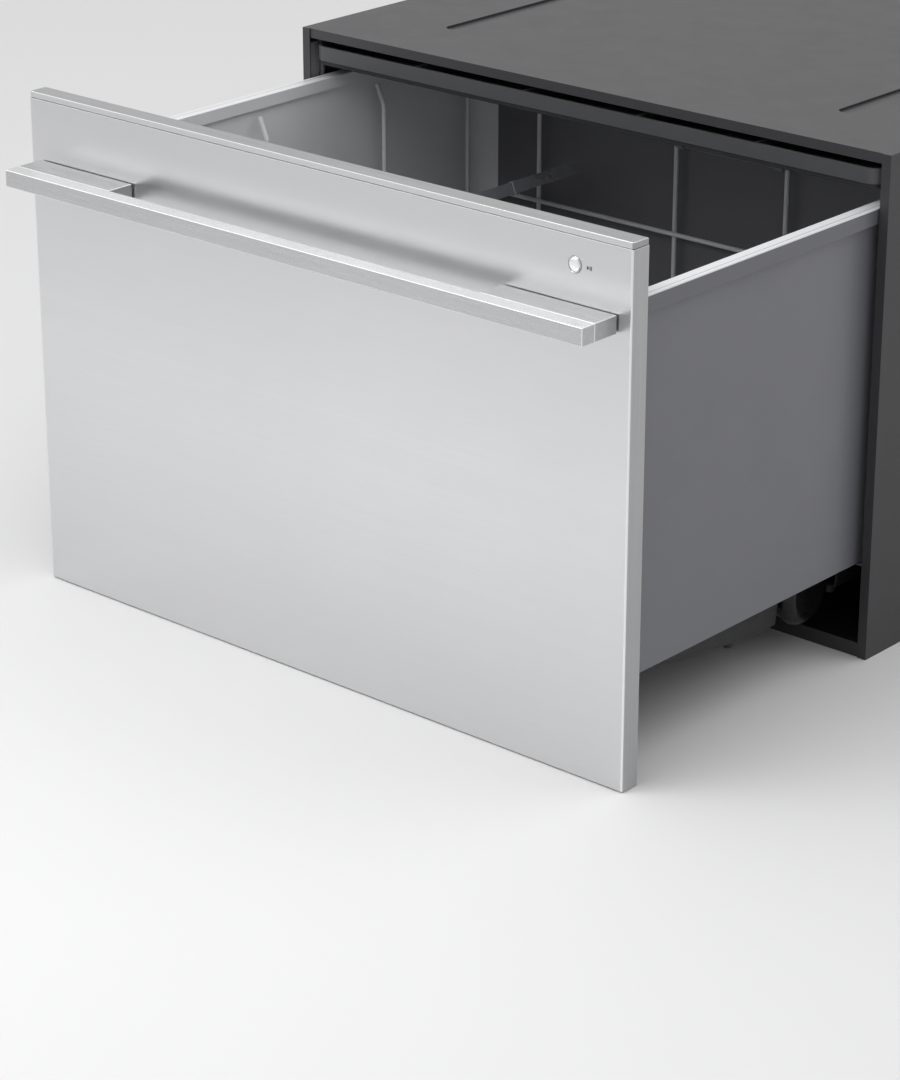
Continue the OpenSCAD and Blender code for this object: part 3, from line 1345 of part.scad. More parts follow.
chassis_side(-1);  // chassis_side_left
chassis_side(1);  // chassis_side_right
chassis_back();
chassis_base();
chassis_top();
front_trim();
rail_bracket(-1);  // rail_bracket_left
rail_bracket(1);  // rail_bracket_right
runner_outer(-1);  // runner_outer_left
runner_outer(1);  // runner_outer_right
lid_guides();
lid_actuator(-1);  // lid_actuator_left
lid_actuator(1);  // lid_actuator_right
inlet_valve();
drain_outlet();
power_inlet();
leak_float();
chassis_screws();
lid();
lid_gasket();
lid_pins();
runner_middle(-1);  // runner_middle_left
runner_middle(1);  // runner_middle_right
front_panel();
top_cap();
panel_frame();
panel_mounts();
handle_bar();
handle_block(-1);  // handle_block_left
handle_block(1);  // handle_block_right
handle_screws();
button_bezel();
control_board();
tub();
tub_pan();
pan_clips();
runner_inner(-1);  // runner_inner_left
runner_inner(1);  // runner_inner_right
filter_plate();
drain_filter();
heater_ring();
wash_motor();
motor_screws();
drain_pump();
dispenser_body();
rinse_cap();
basket();
basket_rail();
basket_uprights();
plate_tines();
tine_clips();
basket_grips();
cutlery_basket();
start_button();
spray_arm();
wash_rotor();
cup_rack();
tine_rack(0);  // tine_rack_left
tine_rack(1);  // tine_rack_right
dispenser_lid();
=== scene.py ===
import json
import math

import bpy
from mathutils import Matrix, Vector


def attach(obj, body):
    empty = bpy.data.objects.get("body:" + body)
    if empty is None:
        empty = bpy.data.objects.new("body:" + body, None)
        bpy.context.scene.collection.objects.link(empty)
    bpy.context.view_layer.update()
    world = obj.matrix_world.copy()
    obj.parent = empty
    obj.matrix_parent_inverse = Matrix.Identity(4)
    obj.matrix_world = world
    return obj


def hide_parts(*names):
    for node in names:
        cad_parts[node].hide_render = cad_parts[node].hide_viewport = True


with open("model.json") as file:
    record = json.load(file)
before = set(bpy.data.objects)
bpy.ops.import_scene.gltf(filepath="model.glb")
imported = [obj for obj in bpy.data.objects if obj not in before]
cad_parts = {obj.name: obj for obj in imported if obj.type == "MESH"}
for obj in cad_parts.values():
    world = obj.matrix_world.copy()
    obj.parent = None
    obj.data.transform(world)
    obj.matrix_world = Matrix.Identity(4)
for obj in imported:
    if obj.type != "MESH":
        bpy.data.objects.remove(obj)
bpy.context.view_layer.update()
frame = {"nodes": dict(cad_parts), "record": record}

MM = 0.001

# Sizes of the drawer's front, in millimetres, as the solids have them, but for a finer gap
# under the cap and a smaller hole for the button
PANEL_HALF = 299.5
PANEL_FACE = -581.5
PANEL_BACK = -564.5
SKIN_LOW = 1.0
SKIN_TOP = 405.0
SKIN_THICK = 1.2
FOLD_RADIUS = 1.6
CAP_LOW = 405.35
CAP_TOP = 410.0
CAP_INSET = 0.6
PULL_LOW, PULL_HIGH = 343.75, 357.25
PULL_HALF = 287.5
PULL_FRONT, PULL_BACK = -620.0, -606.5
PULL_BLOCK = 102.0
BLOCK_NECK = 1.5
BUTTON = Vector((249.0, PANEL_FACE, 384.5))
BUTTON_HOLE = 6.3
OUTWARDS = (0, -1, 0)
FINE_STEPS = 64          # sides of the button's turned pieces

# Start and pause mark, in millimetres: places to the right of the button's middle, then sizes
MARK_START, MARK_BARS = 11.4, (13.1, 14.3)
MARK_RADIUS, MARK_STRETCH = 1.7, (0.75, 1, 1.1)
BAR_WIDTH, BAR_HALF, PRINT_THICK = 0.7, 1.5, 0.06

# Places of the housing's screws, in millimetres
SCREW_FACE = 297.5
SCREW_PLACES = [(y, z) for y in (-220, 0, 220) for z in (7, 398)]
RECESS_LONG, RECESS_SHORT, RECESS_FLOOR, RECESS_TOP = 3.6, 0.9, 0.9, 3.0

# Where the tub changes its tone, in millimetres: half widths and depth from its middle, and heights
TUB_MIDDLE = -308.5
LINING_HALF, RIM_HALF = (279.5, 247.5), (288.0, 256.0)
REAR_WALL = 245.5
LINING_LOW, BAND_LOW, RIM_TOP = 102.5, 350.6, 362.2
GROOVE_IN, GROOVE_HALF = 4.0, 0.4

# Heights between which the steel front is painted darker, a painted shade for its dimming reflection,
# in millimetres: up to its top, and down to its foot
PAINTED_SHADE_UP, PAINTED_SHADE_DOWN = (220.0, 400.0), (180.0, 0.0)

# Angles in degrees: smooth shading of new pieces and of solids, and the least that is eased
ROUND_ANGLE, SOLID_ANGLE, EDGE_ANGLE = 32, 34, 40
# Pull of large faces on the shading beside them, of 100
FLAT_WEIGHT = 90


# ---------- Working by hand ----------

def put_down():
    """Object mode with nothing selected."""
    if bpy.context.mode != "OBJECT":
        bpy.ops.object.mode_set(mode="OBJECT")
    bpy.ops.object.select_all(action="DESELECT")


def take_up(piece):
    """Makes the piece the only one selected, and the active one."""
    put_down()
    piece.select_set(True)
    bpy.context.view_layer.objects.active = piece


def name_it(name):
    """Names the active object and its mesh."""
    piece = bpy.context.object
    piece.name = name
    piece.data.name = name
    return piece


def settle(piece):
    """Leaves the piece at the origin, unturned and unscaled, with its place in its mesh."""
    take_up(piece)
    bpy.ops.object.transform_apply(location=True, rotation=True, scale=True)
    return piece


def blank(name, low, high):
    """A block of material between two corners, in millimetres, to be shaped."""
    put_down()
    low, high = Vector(low) * MM, Vector(high) * MM
    bpy.ops.mesh.primitive_cube_add(size=1, location=(low + high) / 2, scale=high - low)
    return settle(name_it(name))


def pick(piece, kind, test):
    """Edit mode with only the faces or edges that pass the test selected. The test gets
    the middle in millimetres, and the face's normal or the edge's direction."""
    take_up(piece)
    bpy.ops.object.mode_set(mode="EDIT")
    bpy.ops.mesh.select_mode(type=kind)
    bpy.ops.mesh.select_all(action="DESELECT")
    bpy.ops.object.mode_set(mode="OBJECT")
    mesh = piece.data
    if kind == "FACE":
        for face in mesh.polygons:
            face.select = bool(test(face.center / MM, face.normal))
    else:
        for edge in mesh.edges:
            a, b = (mesh.vertices[i].co for i in edge.vertices)
            edge.select = bool(test((a + b) / 2 / MM, (b - a).normalized()))
    bpy.ops.object.mode_set(mode="EDIT")


def ease(piece, test, width, steps=2, tone=-1):
    """Rounds the edges that pass the test, and gives the rounds a material slot if asked."""
    pick(piece, "EDGE", test)
    bpy.ops.mesh.bevel(offset=width * MM, segments=steps, affect="EDGES", material=tone)
    put_down()


def cut_away(piece, test):
    """Deletes the faces that pass the test."""
    pick(piece, "FACE", test)
    bpy.ops.mesh.delete(type="FACE")
    put_down()


def work_in(piece, kind, **settings):
    """Adds a modifier and applies it."""
    modifier = piece.modifiers.new(kind.lower(), kind)
    for key, value in settings.items():
        setattr(modifier, key, value)
    take_up(piece)
    bpy.ops.object.modifier_apply(modifier=modifier.name)
    put_down()


def drill(piece, tool):
    """Cuts the tool's shape out of the piece and puts the tool away."""
    work_in(piece, "BOOLEAN", operation="DIFFERENCE", solver="EXACT", object=tool)
    bpy.data.objects.remove(tool)


def one_piece(name, pieces):
    """Joins the pieces into one."""
    put_down()
    for piece in pieces:
        piece.select_set(True)
    bpy.context.view_layer.objects.active = pieces[0]
    bpy.ops.object.join()
    return name_it(name)


def even_flats(piece):
    """Keeps flat faces evenly shaded beside their rounds."""
    flat = piece.modifiers.new("flats", "WEIGHTED_NORMAL")
    flat.keep_sharp = True
    flat.weight = FLAT_WEIGHT


def soften(piece, angle=ROUND_ANGLE):
    """Shades a new piece smooth, except at edges sharper than the angle in degrees."""
    take_up(piece)
    bpy.ops.object.shade_smooth_by_angle(angle=math.radians(angle))
    put_down()
    even_flats(piece)
    return piece


def turned(name, profile, centre, axis, steps):
    """A piece turned on a lathe. The profile lists radius and height along the axis, in
    millimetres, from a centre in millimetres."""
    put_down()
    axis = Vector(axis).normalized()
    side = axis.orthogonal().normalized()
    centre = Vector(centre) * MM
    line = [centre + side * r * MM + axis * h * MM for r, h in profile]
    bpy.ops.mesh.primitive_plane_add(size=MM, location=line[0])
    piece = name_it(name)
    bpy.ops.object.mode_set(mode="EDIT")
    bpy.ops.mesh.select_mode(type="VERT")
    bpy.ops.mesh.select_all(action="SELECT")
    bpy.ops.mesh.merge(type="CENTER")
    for a, b in zip(line, line[1:]):
        bpy.ops.mesh.extrude_region_move(TRANSFORM_OT_translate={"value": b - a})
    bpy.ops.mesh.select_all(action="SELECT")
    bpy.ops.mesh.spin(steps=steps, angle=2 * math.pi, center=centre, axis=axis)
    bpy.ops.mesh.select_all(action="SELECT")
    bpy.ops.mesh.remove_doubles(threshold=1e-6)
    bpy.ops.mesh.normals_make_consistent(inside=False)
    put_down()
    return settle(piece)


def rod(name, centre, radius, length, axis, sides):
    """A round tool or bar, as a start for drilling and shaping."""
    put_down()
    turn = Vector((0, 0, 1)).rotation_difference(Vector(axis)).to_euler()
    bpy.ops.mesh.primitive_cylinder_add(
        vertices=sides, radius=radius * MM, depth=length * MM,
        location=Vector(centre) * MM, rotation=turn)
    return settle(name_it(name))


# ---------- Nodes for the finishes ----------

class Bench:
    """Places nodes in one tree and joins them."""

    def __init__(self, tree):
        self.tree = tree

    def add(self, kind, *inputs, **settings):
        """A new node, with its first sockets filled in order, and the rest set by name."""
        node = self.tree.nodes.new(kind)
        for key, value in settings.items():
            if hasattr(node, key):
                setattr(node, key, value)
            else:
                node.inputs[key].default_value = value
        for socket, value in zip(node.inputs, inputs):
            self.join(value, socket)
        return node

    def join(self, value, socket):
        """Links a socket to another, or sets it to a plain value. None leaves it as it is."""
        if value is None:
            return
        if isinstance(value, bpy.types.NodeSocket):
            self.tree.links.new(value, socket)
        else:
            socket.default_value = value

    def sum(self, operation, *values):
        """One step of arithmetic."""
        return self.add("ShaderNodeMath", *values, operation=operation).outputs[0]

    def span(self, value, low, high, to_low=0.0, to_high=1.0):
        """Carries a value from one range to another, and holds it there."""
        return self.add("ShaderNodeMapRange", value, low, high, to_low, to_high,
                        clamp=True).outputs[0]

    def blend(self, share, first, second):
        """The first colour at a share of 0, and the second at 1."""
        node = self.add("ShaderNodeMix", data_type="RGBA")
        self.join(share, node.inputs[0])
        self.join(first, node.inputs[6])
        self.join(second, node.inputs[7])
        return node.outputs[2]

    def placed(self, place=(0, 0, 0), scale=(1, 1, 1)):
        """Object coordinates in metres, moved and then stretched."""
        where = self.add("ShaderNodeTexCoord").outputs["Object"]
        return self.add("ShaderNodeMapping", where, Vector(place), None, scale).outputs[0]

    def relief(self, shader, height, strength, distance):
        """Feeds a height to the shader's normal, with its depth in metres."""
        bumped = self.add("ShaderNodeBump", Strength=strength, Distance=distance)
        self.join(height, bumped.inputs["Height"])
        self.join(bumped.outputs[0], shader.inputs["Normal"])


def effect(name, inputs, outputs):
    """A shader node group with named sockets. Returns its bench, inputs and output node."""
    tree = bpy.data.node_groups.new(name, "ShaderNodeTree")
    for label, kind, value in inputs:
        socket = tree.interface.new_socket(label, in_out="INPUT", socket_type=kind)
        if value is not None:
            socket.default_value = value
    for label, kind in outputs:
        tree.interface.new_socket(label, in_out="OUTPUT", socket_type=kind)
    bench = Bench(tree)
    return bench, bench.add("NodeGroupInput").outputs, bench.add("NodeGroupOutput")


FLOAT, VECTOR = "NodeSocketFloat", "NodeSocketVector"


def mottle_effect():
    """Slow unevenness of a surface, from 0 to 1."""
    bench, given, out = effect(
        "mottle", [("Vector", VECTOR, None), ("Scale", FLOAT, 20.0)], [("Value", FLOAT)])
    noise = bench.add("ShaderNodeTexNoise", Detail=4.0, Roughness=0.55)
    bench.join(given["Vector"], noise.inputs["Vector"])
    bench.join(given["Scale"], noise.inputs["Scale"])
    bench.join(bench.span(noise.outputs[0], 0.3, 0.7), out.inputs["Value"])
    return bench.tree


def brushing_effect():
    """Fine lines drawn out along one direction. The vector comes in already stretched."""
    bench, given, out = effect(
        "brushing", [("Vector", VECTOR, None), ("Fineness", FLOAT, 1.0)],
        [("Height", FLOAT), ("Streak", FLOAT)])
    fine = bench.add("ShaderNodeTexNoise", Detail=3.0, Roughness=0.6)
    coarse = bench.add("ShaderNodeTexNoise", Detail=2.0, Roughness=0.5)
    bench.join(given["Vector"], fine.inputs["Vector"])
    bench.join(given["Vector"], coarse.inputs["Vector"])
    bench.join(given["Fineness"], fine.inputs["Scale"])
    bench.join(bench.sum("MULTIPLY", given["Fineness"], 0.17), coarse.inputs["Scale"])
    both = bench.sum("ADD", bench.sum("MULTIPLY", fine.outputs[0], 0.65),
                     bench.sum("MULTIPLY", coarse.outputs[0], 0.35))
    bench.join(both, out.inputs["Height"])
    bench.join(bench.span(both, 0.34, 0.66), out.inputs["Streak"])
    return bench.tree


def grain_effect():
    """Skin of a moulded or painted surface: fine pebbles, and a soft waviness under them."""
    bench, given, out = effect(
        "moulded_skin",
        [("Vector", VECTOR, None), ("Grain", FLOAT, 1500.0), ("Wave", FLOAT, 60.0)],
        [("Height", FLOAT)])
    grain = bench.add("ShaderNodeTexNoise", Detail=1.0)
    wave = bench.add("ShaderNodeTexNoise", Detail=1.0)
    for node, label in ((grain, "Grain"), (wave, "Wave")):
        bench.join(given["Vector"], node.inputs["Vector"])
        bench.join(given[label], node.inputs["Scale"])
    bench.join(bench.sum("ADD", bench.sum("MULTIPLY", grain.outputs[0], 0.4), wave.outputs[0]),
               out.inputs["Height"])
    return bench.tree


def dust_effect():
    """Faint dust that lies where a surface faces up, broken by noise."""
    bench, given, out = effect(
        "settled_dust", [("Vector", VECTOR, None), ("Amount", FLOAT, 0.2)], [("Mask", FLOAT)])
    normal = bench.add("ShaderNodeNewGeometry").outputs["Normal"]
    up = bench.add("ShaderNodeSeparateXYZ", normal).outputs[2]
    noise = bench.add("ShaderNodeTexNoise", Scale=35.0, Detail=5.0)
    bench.join(given["Vector"], noise.inputs["Vector"])
    mask = bench.sum("MULTIPLY", bench.span(up, 0.4, 1.0),
                     bench.span(noise.outputs[0], 0.35, 0.75))
    bench.join(bench.sum("MULTIPLY", mask, given["Amount"]), out.inputs["Mask"])
    return bench.tree


EFFECTS = {"mottle": mottle_effect(), "brushing": brushing_effect(),
           "skin": grain_effect(), "dust": dust_effect()}


def place_effect(bench, kind, vector, **values):
    """Puts a shared effect into a finish, with values of its own."""
    node = bench.add("ShaderNodeGroup", node_tree=EFFECTS[kind])
    bench.join(vector, node.inputs["Vector"])
    for label, value in values.items():
        bench.join(value, node.inputs[label])
    return node


def start_finish(name, metal=0.0, coat=0.0, **constants):
    """A new material, its bench and its shader, with the constants on the shader's own sockets."""
    material = bpy.data.materials.new(name)
    material.use_nodes = True
    bench = Bench(material.node_tree)
    shader = material.node_tree.nodes["Principled BSDF"]
    shader.inputs["Metallic"].default_value = metal
    shader.inputs["Coat Weight"].default_value = coat
    for key, value in constants.items():
        shader.inputs[key.replace("_", " ")].default_value = value
    return material, bench, shader


def rgb(colour, factor=1.0):
    """A colour made lighter or darker by a factor, for a socket."""
    return tuple(min(1.0, c * factor) for c in colour) + (1.0,)


def moulded(name, colour, rough=0.45, grain=1500.0, bump=0.08, vary=0.05, coat=0.0,
            dust=0.12, dusty=(0.42, 0.42, 0.42), wear=0.05, **constants):
    """Moulded plastic, rubber or paint: slight clouding, a fine skin and a little dust."""
    material, bench, shader = start_finish(name, coat=coat, **constants)
    where = bench.placed()
    cloud = place_effect(bench, "mottle", where, Scale=9.0).outputs[0]
    tone = bench.blend(cloud, rgb(colour, 1 - vary), rgb(colour, 1 + vary))
    mask = place_effect(bench, "dust", where, Amount=dust).outputs[0]
    bench.join(bench.blend(mask, tone, rgb(dusty)), shader.inputs["Base Color"])
    worn = place_effect(bench, "mottle", where, Scale=46.0).outputs[0]
    bench.join(bench.sum("ADD", bench.span(worn, 0, 1, rough - wear, rough + wear), mask),
               shader.inputs["Roughness"])
    skin = place_effect(bench, "skin", where, Grain=grain, Wave=70.0).outputs[0]
    bench.relief(shader, skin, bump, 0.0006)
    return material


def drawn_metal(name, colour, rough, stretch, fineness, bump, streak=0.05, vary=0.04, satin=0.0):
    """Metal with fine lines along one direction: the stretch is small along the lines. The painted
    shade falloff is how much darker an upright sheet is painted towards its top, in place of its
    dimming reflection. It gets half of that at its foot."""
    material, bench, shader = start_finish(name, metal=1.0)
    where = bench.placed()
    lines = place_effect(bench, "brushing", bench.placed(scale=stretch), Fineness=fineness)
    marks = lines.outputs["Streak"]
    cloud = place_effect(bench, "mottle", where, Scale=5.0).outputs[0]
    tone = bench.blend(cloud, rgb(colour, 1 - vary), rgb(colour, 1 + vary))
    tone = bench.blend(bench.sum("MULTIPLY", marks, 0.5), tone, rgb(colour, 1 - 2 * streak))
    # painted shade: darker towards the top and the foot, in place of the reflection's falloff
    if satin:
        height = bench.add("ShaderNodeSeparateXYZ", where).outputs[2]
        top = bench.span(height, PAINTED_SHADE_UP[0] * MM, PAINTED_SHADE_UP[1] * MM)
        foot = bench.span(height, PAINTED_SHADE_DOWN[0] * MM, PAINTED_SHADE_DOWN[1] * MM, 0.0, 0.5)
        tone = bench.blend(bench.sum("ADD", top, foot), tone, rgb(colour, 1 - satin))
    bench.join(tone, shader.inputs["Base Color"])
    smear = place_effect(bench, "mottle", where, Scale=14.0).outputs[0]
    bench.join(bench.sum("ADD", bench.span(marks, 0, 1, rough - streak, rough + streak),
                         bench.span(smear, 0, 1, -0.02, 0.03)), shader.inputs["Roughness"])
    bench.relief(shader, lines.outputs["Height"], bump, 0.0002)
    return material


def spangled_zinc(name):
    """Bright zinc plate with a faint crystal pattern."""
    colour = (0.6, 0.61, 0.62)
    material, bench, shader = start_finish(name, metal=1.0)
    where = bench.placed()
    cells = bench.add("ShaderNodeTexVoronoi", Scale=130.0)
    bench.join(where, cells.inputs["Vector"])
    flake = bench.add("ShaderNodeSeparateColor", cells.outputs["Color"]).outputs[0]
    cloud = place_effect(bench, "mottle", where, Scale=25.0).outputs[0]
    tone = bench.blend(flake, rgb(colour, 0.9), rgb(colour, 1.08))
    bench.join(bench.blend(bench.sum("MULTIPLY", cloud, 0.4), tone, rgb(colour, 0.8)),
               shader.inputs["Base Color"])
    bench.join(bench.span(bench.sum("ADD", flake, cloud), 0, 2, 0.24, 0.42),
               shader.inputs["Roughness"])
    lines = place_effect(bench, "brushing", bench.placed(scale=(40, 0.6, 40)), Fineness=20.0)
    bench.relief(shader, lines.outputs["Height"], 0.08, 0.0003)
    return material


def tub_finish(name):
    """Mid grey outside, darker on the rim's side; light grey inside and on the rim's top, which
    has a fine groove darkened by painted shade; dark grey on the rear wall inside, a painted shade."""
    outside, inside = (0.155, 0.157, 0.172), (0.72, 0.725, 0.74)
    groove, rear = (0.1, 0.1, 0.11), (0.13, 0.13, 0.14)
    material, bench, shader = start_finish(name, coat=0.15, Coat_Roughness=0.25)
    where = bench.placed()
    centred = bench.placed((0, -TUB_MIDDLE * MM, 0))
    x, y, z = bench.add("ShaderNodeSeparateXYZ", centred).outputs
    across, along = bench.sum("ABSOLUTE", x), bench.sum("ABSOLUTE", y)
    # inside the walls and above the sump, or on top of the rim
    within = bench.sum("MULTIPLY", bench.sum("LESS_THAN", across, LINING_HALF[0] * MM),
                       bench.sum("LESS_THAN", along, LINING_HALF[1] * MM))
    deep = bench.sum("MULTIPLY", within, bench.sum("GREATER_THAN", z, LINING_LOW * MM))
    rim = bench.sum("GREATER_THAN", z, RIM_TOP * MM)
    share = bench.sum("MAXIMUM", deep, rim)
    cloud = place_effect(bench, "mottle", where, Scale=6.0).outputs[0]
    band = bench.sum("GREATER_THAN", z, BAND_LOW * MM)
    shell = bench.blend(cloud, rgb(outside, 0.96), rgb(outside, 1.04))
    shell = bench.blend(band, shell, rgb(outside, 0.8))
    lining = bench.blend(cloud, rgb(inside, 0.97), rgb(inside, 1.03))
    # painted shade: the rear wall inside is painted dark grey
    behind = bench.sum("MULTIPLY", bench.sum("GREATER_THAN", y, REAR_WALL * MM),
                       bench.sum("LESS_THAN", z, RIM_TOP * MM))
    lining = bench.blend(behind, lining, rgb(rear))
    tone = bench.blend(share, shell, lining)
    # fine groove round the rim's top: a bump, darkened by painted shade
    edge_x = bench.sum("SUBTRACT", RIM_HALF[0] * MM, across)
    edge_y = bench.sum("SUBTRACT", RIM_HALF[1] * MM, along)
    edge = bench.sum("MINIMUM", edge_x, edge_y)
    line = bench.sum("MULTIPLY",
                     bench.sum("COMPARE", edge, GROOVE_IN * MM, GROOVE_HALF * MM), rim)
    tone = bench.blend(bench.sum("MULTIPLY", line, 0.6), tone, rgb(groove))
    bench.join(tone, shader.inputs["Base Color"])
    worn = place_effect(bench, "mottle", where, Scale=30.0).outputs[0]
    bench.join(bench.span(worn, 0, 1, 0.36, 0.46), shader.inputs["Roughness"])
    skin = place_effect(bench, "skin", where, Grain=1200.0, Wave=25.0).outputs[0]
    height = bench.sum("SUBTRACT", skin, bench.sum("MULTIPLY", line, 3.0))
    bench.relief(shader, height, 0.1, 0.0005)
    return material


def spun_button(name):
    """Bright disc with fine turning marks round its middle."""
    material, bench, shader = start_finish(name, metal=1.0)
    around = bench.placed(-BUTTON * MM)
    x, y, z = bench.add("ShaderNodeSeparateXYZ", around).outputs
    squares = bench.sum("ADD", bench.sum("MULTIPLY", x, x), bench.sum("MULTIPLY", z, z))
    radius = bench.sum("SQRT", squares)
    marks = bench.add("ShaderNodeTexNoise", noise_dimensions="1D", Scale=9000.0, Detail=2.0)
    bench.join(radius, marks.inputs["W"])
    tone = bench.blend(marks.outputs[0], rgb((0.84, 0.845, 0.85)), rgb((0.95, 0.955, 0.96)))
    bench.join(tone, shader.inputs["Base Color"])
    bench.join(bench.span(marks.outputs[0], 0.3, 0.7, 0.16, 0.28), shader.inputs["Roughness"])
    bench.relief(shader, marks.outputs[0], 0.35, 0.00008)
    return material


def clouded_plastic(name):
    """Slightly see-through grey plastic of the cup rack."""
    colour = (0.3, 0.305, 0.33)
    material, bench, shader = start_finish(name, Transmission_Weight=0.2, IOR=1.46)
    where = bench.placed()
    cloud = place_effect(bench, "mottle", where, Scale=22.0).outputs[0]
    bench.join(bench.blend(cloud, rgb(colour, 0.9), rgb(colour, 1.15)), shader.inputs["Base Color"])
    bench.join(bench.span(cloud, 0, 1, 0.25, 0.36), shader.inputs["Roughness"])
    skin = place_effect(bench, "skin", where, Grain=700.0, Wave=40.0).outputs[0]
    bench.relief(shader, skin, 0.06, 0.0005)
    return material


FINISHES = {
    "panel_steel": drawn_metal("brushed_front_steel_with_painted_shade", (0.72, 0.723, 0.73), 0.32, (0.5, 1, 60),
                               22.0, 0.08, 0.025, 0.02, satin=0.13),
    "handle_metal": drawn_metal("brushed_pull_metal", (0.56, 0.563, 0.57), 0.3, (4, 120, 120),
                                16.0, 0.35, 0.09),
    "case_steel": moulded("charcoal_case_paint", (0.034, 0.034, 0.037), 0.44, 2200.0, 0.12, 0.03,
                          wear=0.015, dust=0.02, dusty=(0.12, 0.12, 0.12)),
    "zinc_steel": spangled_zinc("zinc_plate"),
    "steel_bare": drawn_metal("bare_stainless", (0.58, 0.58, 0.59), 0.28, (30, 30, 2), 20.0, 0.08),
    "trim_plastic": moulded("mouth_trim_plastic", (0.2, 0.2, 0.21), 0.45),
    "dark_plastic": moulded("black_plastic", (0.022, 0.022, 0.024), 0.38, dust=0.08),
    "lid_plastic": moulded("lid_plastic", (0.06, 0.061, 0.066), 0.42, 1100.0, 0.1),
    "seal_rubber": moulded("seal_rubber", (0.016, 0.016, 0.017), 0.62, 900.0, 0.14, dust=0.1),
    "frame_plastic": moulded("inner_frame_plastic", (0.16, 0.16, 0.168), 0.5, 900.0, 0.12),
    "tub_plastic": tub_finish("two_tone_tub_plastic_and_painted_shade"),
    "pan_plastic": moulded("pan_plastic", (0.022, 0.022, 0.022), 0.5, 900.0, 0.14),
    "pump_plastic": moulded("gloss_black_pump", (0.006, 0.006, 0.007), 0.26, 500.0, 0.03, coat=0.15,
                            Coat_Roughness=0.1, Specular_IOR_Level=0.3, dust=0.0),
    "motor_metal": moulded("motor_enamel", (0.02, 0.02, 0.023), 0.4, 1400.0, 0.12, dust=0.0),
    "filter_plastic": moulded("filter_plastic", (0.3, 0.31, 0.33), 0.4),
    "wire_coat": moulded("nylon_coated_wire", (0.6, 0.61, 0.62), 0.32, 700.0, 0.12, coat=0.2,
                         Coat_Roughness=0.2, dust=0.0),
    "clip_plastic": moulded("clip_plastic", (0.2, 0.205, 0.215), 0.42),
    "rack_plastic": clouded_plastic("clouded_rack_plastic"),
    "button_metal": spun_button("spun_button_metal"),
    "bezel_metal": drawn_metal("bezel_metal", (0.8, 0.803, 0.81), 0.22, (40, 1, 40), 20.0, 0.05),
    "board_green": moulded("board_laminate", (0.02, 0.11, 0.045), 0.3, 300.0, 0.04),
    "valve_plastic": moulded("natural_nylon", (0.66, 0.66, 0.62), 0.4),
    "cap_plastic": moulded("rinse_cap_plastic", (0.1, 0.19, 0.32), 0.34, coat=0.2),
}
# Finishes of single faces and small pieces
# Brighter copy of the pull's metal for the bar's top face: a painted highlight
TOP_PAINTED_HIGHLIGHT = drawn_metal("pull_top_painted_highlight", (0.7, 0.703, 0.71), 0.26, (4, 120, 120),
                         16.0, 0.25, 0.05)
# Darker copy of the front's steel for its side faces: painted shade
SIDE_PAINTED_SHADE = drawn_metal("brushed_side_steel_painted_shade", (0.5, 0.503, 0.51), 0.38, (1, 60, 0.5),
                          22.0, 0.12, 0.06)
BLOCK_FINISH = drawn_metal("brushed_block_metal", (0.49, 0.493, 0.5), 0.36, (4, 120, 120),
                           16.0, 0.4, 0.12)
# Darker copy of the brushed metal for the cap's top and sides: painted shade
CAP_PAINTED_SHADE = drawn_metal("brushed_cap_metal_painted_shade", (0.42, 0.423, 0.43), 0.32, (2, 90, 90),
                         18.0, 0.25, 0.09)
# Brighter metal on eased edges and folds: a painted highlight
EDGE_PAINTED_HIGHLIGHT = drawn_metal("edges_painted_highlight", (0.86, 0.862, 0.866), 0.2, (2, 60, 60),
                          18.0, 0.04, 0.02)
MARK_FINISH = moulded("dark_mark_print", (0.03, 0.03, 0.034), 0.5, dust=0.0)


# ---------- Edges and finishes of the solids ----------

def tidy_group(name, smooth):
    """Either joins the solid's loose triangles, or shades its faces smooth between sharp edges."""
    tree = bpy.data.node_groups.new(name, "GeometryNodeTree")
    tree.interface.new_socket("Geometry", in_out="INPUT", socket_type="NodeSocketGeometry")
    tree.interface.new_socket("Geometry", in_out="OUTPUT", socket_type="NodeSocketGeometry")
    bench = Bench(tree)
    start, end = bench.add("NodeGroupInput"), bench.add("NodeGroupOutput")
    if smooth:
        faces = bench.add("GeometryNodeSetShadeSmooth", start.outputs[0], domain="FACE")
        angle = bench.add("GeometryNodeInputMeshEdgeAngle").outputs[0]
        gentle = bench.add("FunctionNodeCompare", operation="LESS_THAN", data_type="FLOAT")
        bench.join(angle, gentle.inputs[0])
        gentle.inputs[1].default_value = math.radians(SOLID_ANGLE)
        edges = bench.add("GeometryNodeSetShadeSmooth", faces.outputs[0], domain="EDGE")
        bench.join(gentle.outputs[0], edges.inputs["Shade Smooth"])
        bench.join(edges.outputs[0], end.inputs[0])
    else:
        plain = bench.add("GeometryNodeRemoveAttribute", start.outputs[0])
        plain.inputs["Name"].default_value = "custom_normal"
        whole = bench.add("GeometryNodeMergeByDistance", plain.outputs[0])
        whole.inputs["Distance"].default_value = 1e-5
        bench.join(whole.outputs[0], end.inputs[0])
    return tree


JOINED, SHADED = tidy_group("join_triangles", False), tidy_group("shade_by_angle", True)


def dress(node, finish, edge, steps):
    """Gives a solid its finish, and eases its edges by a width in millimetres, if it has one."""
    piece = frame["nodes"][node]
    for place in piece.material_slots:
        place.material = finish
    whole = piece.modifiers.new("join", "NODES")
    whole.node_group = JOINED
    if edge:
        bevel = piece.modifiers.new("ease", "BEVEL")
        bevel.width = edge * MM
        bevel.segments = steps
        bevel.limit_method = "ANGLE"
        bevel.angle_limit = math.radians(EDGE_ANGLE)
        bevel.use_clamp_overlap = True
    shade = piece.modifiers.new("shade", "NODES")
    shade.node_group = SHADED
    even_flats(piece)


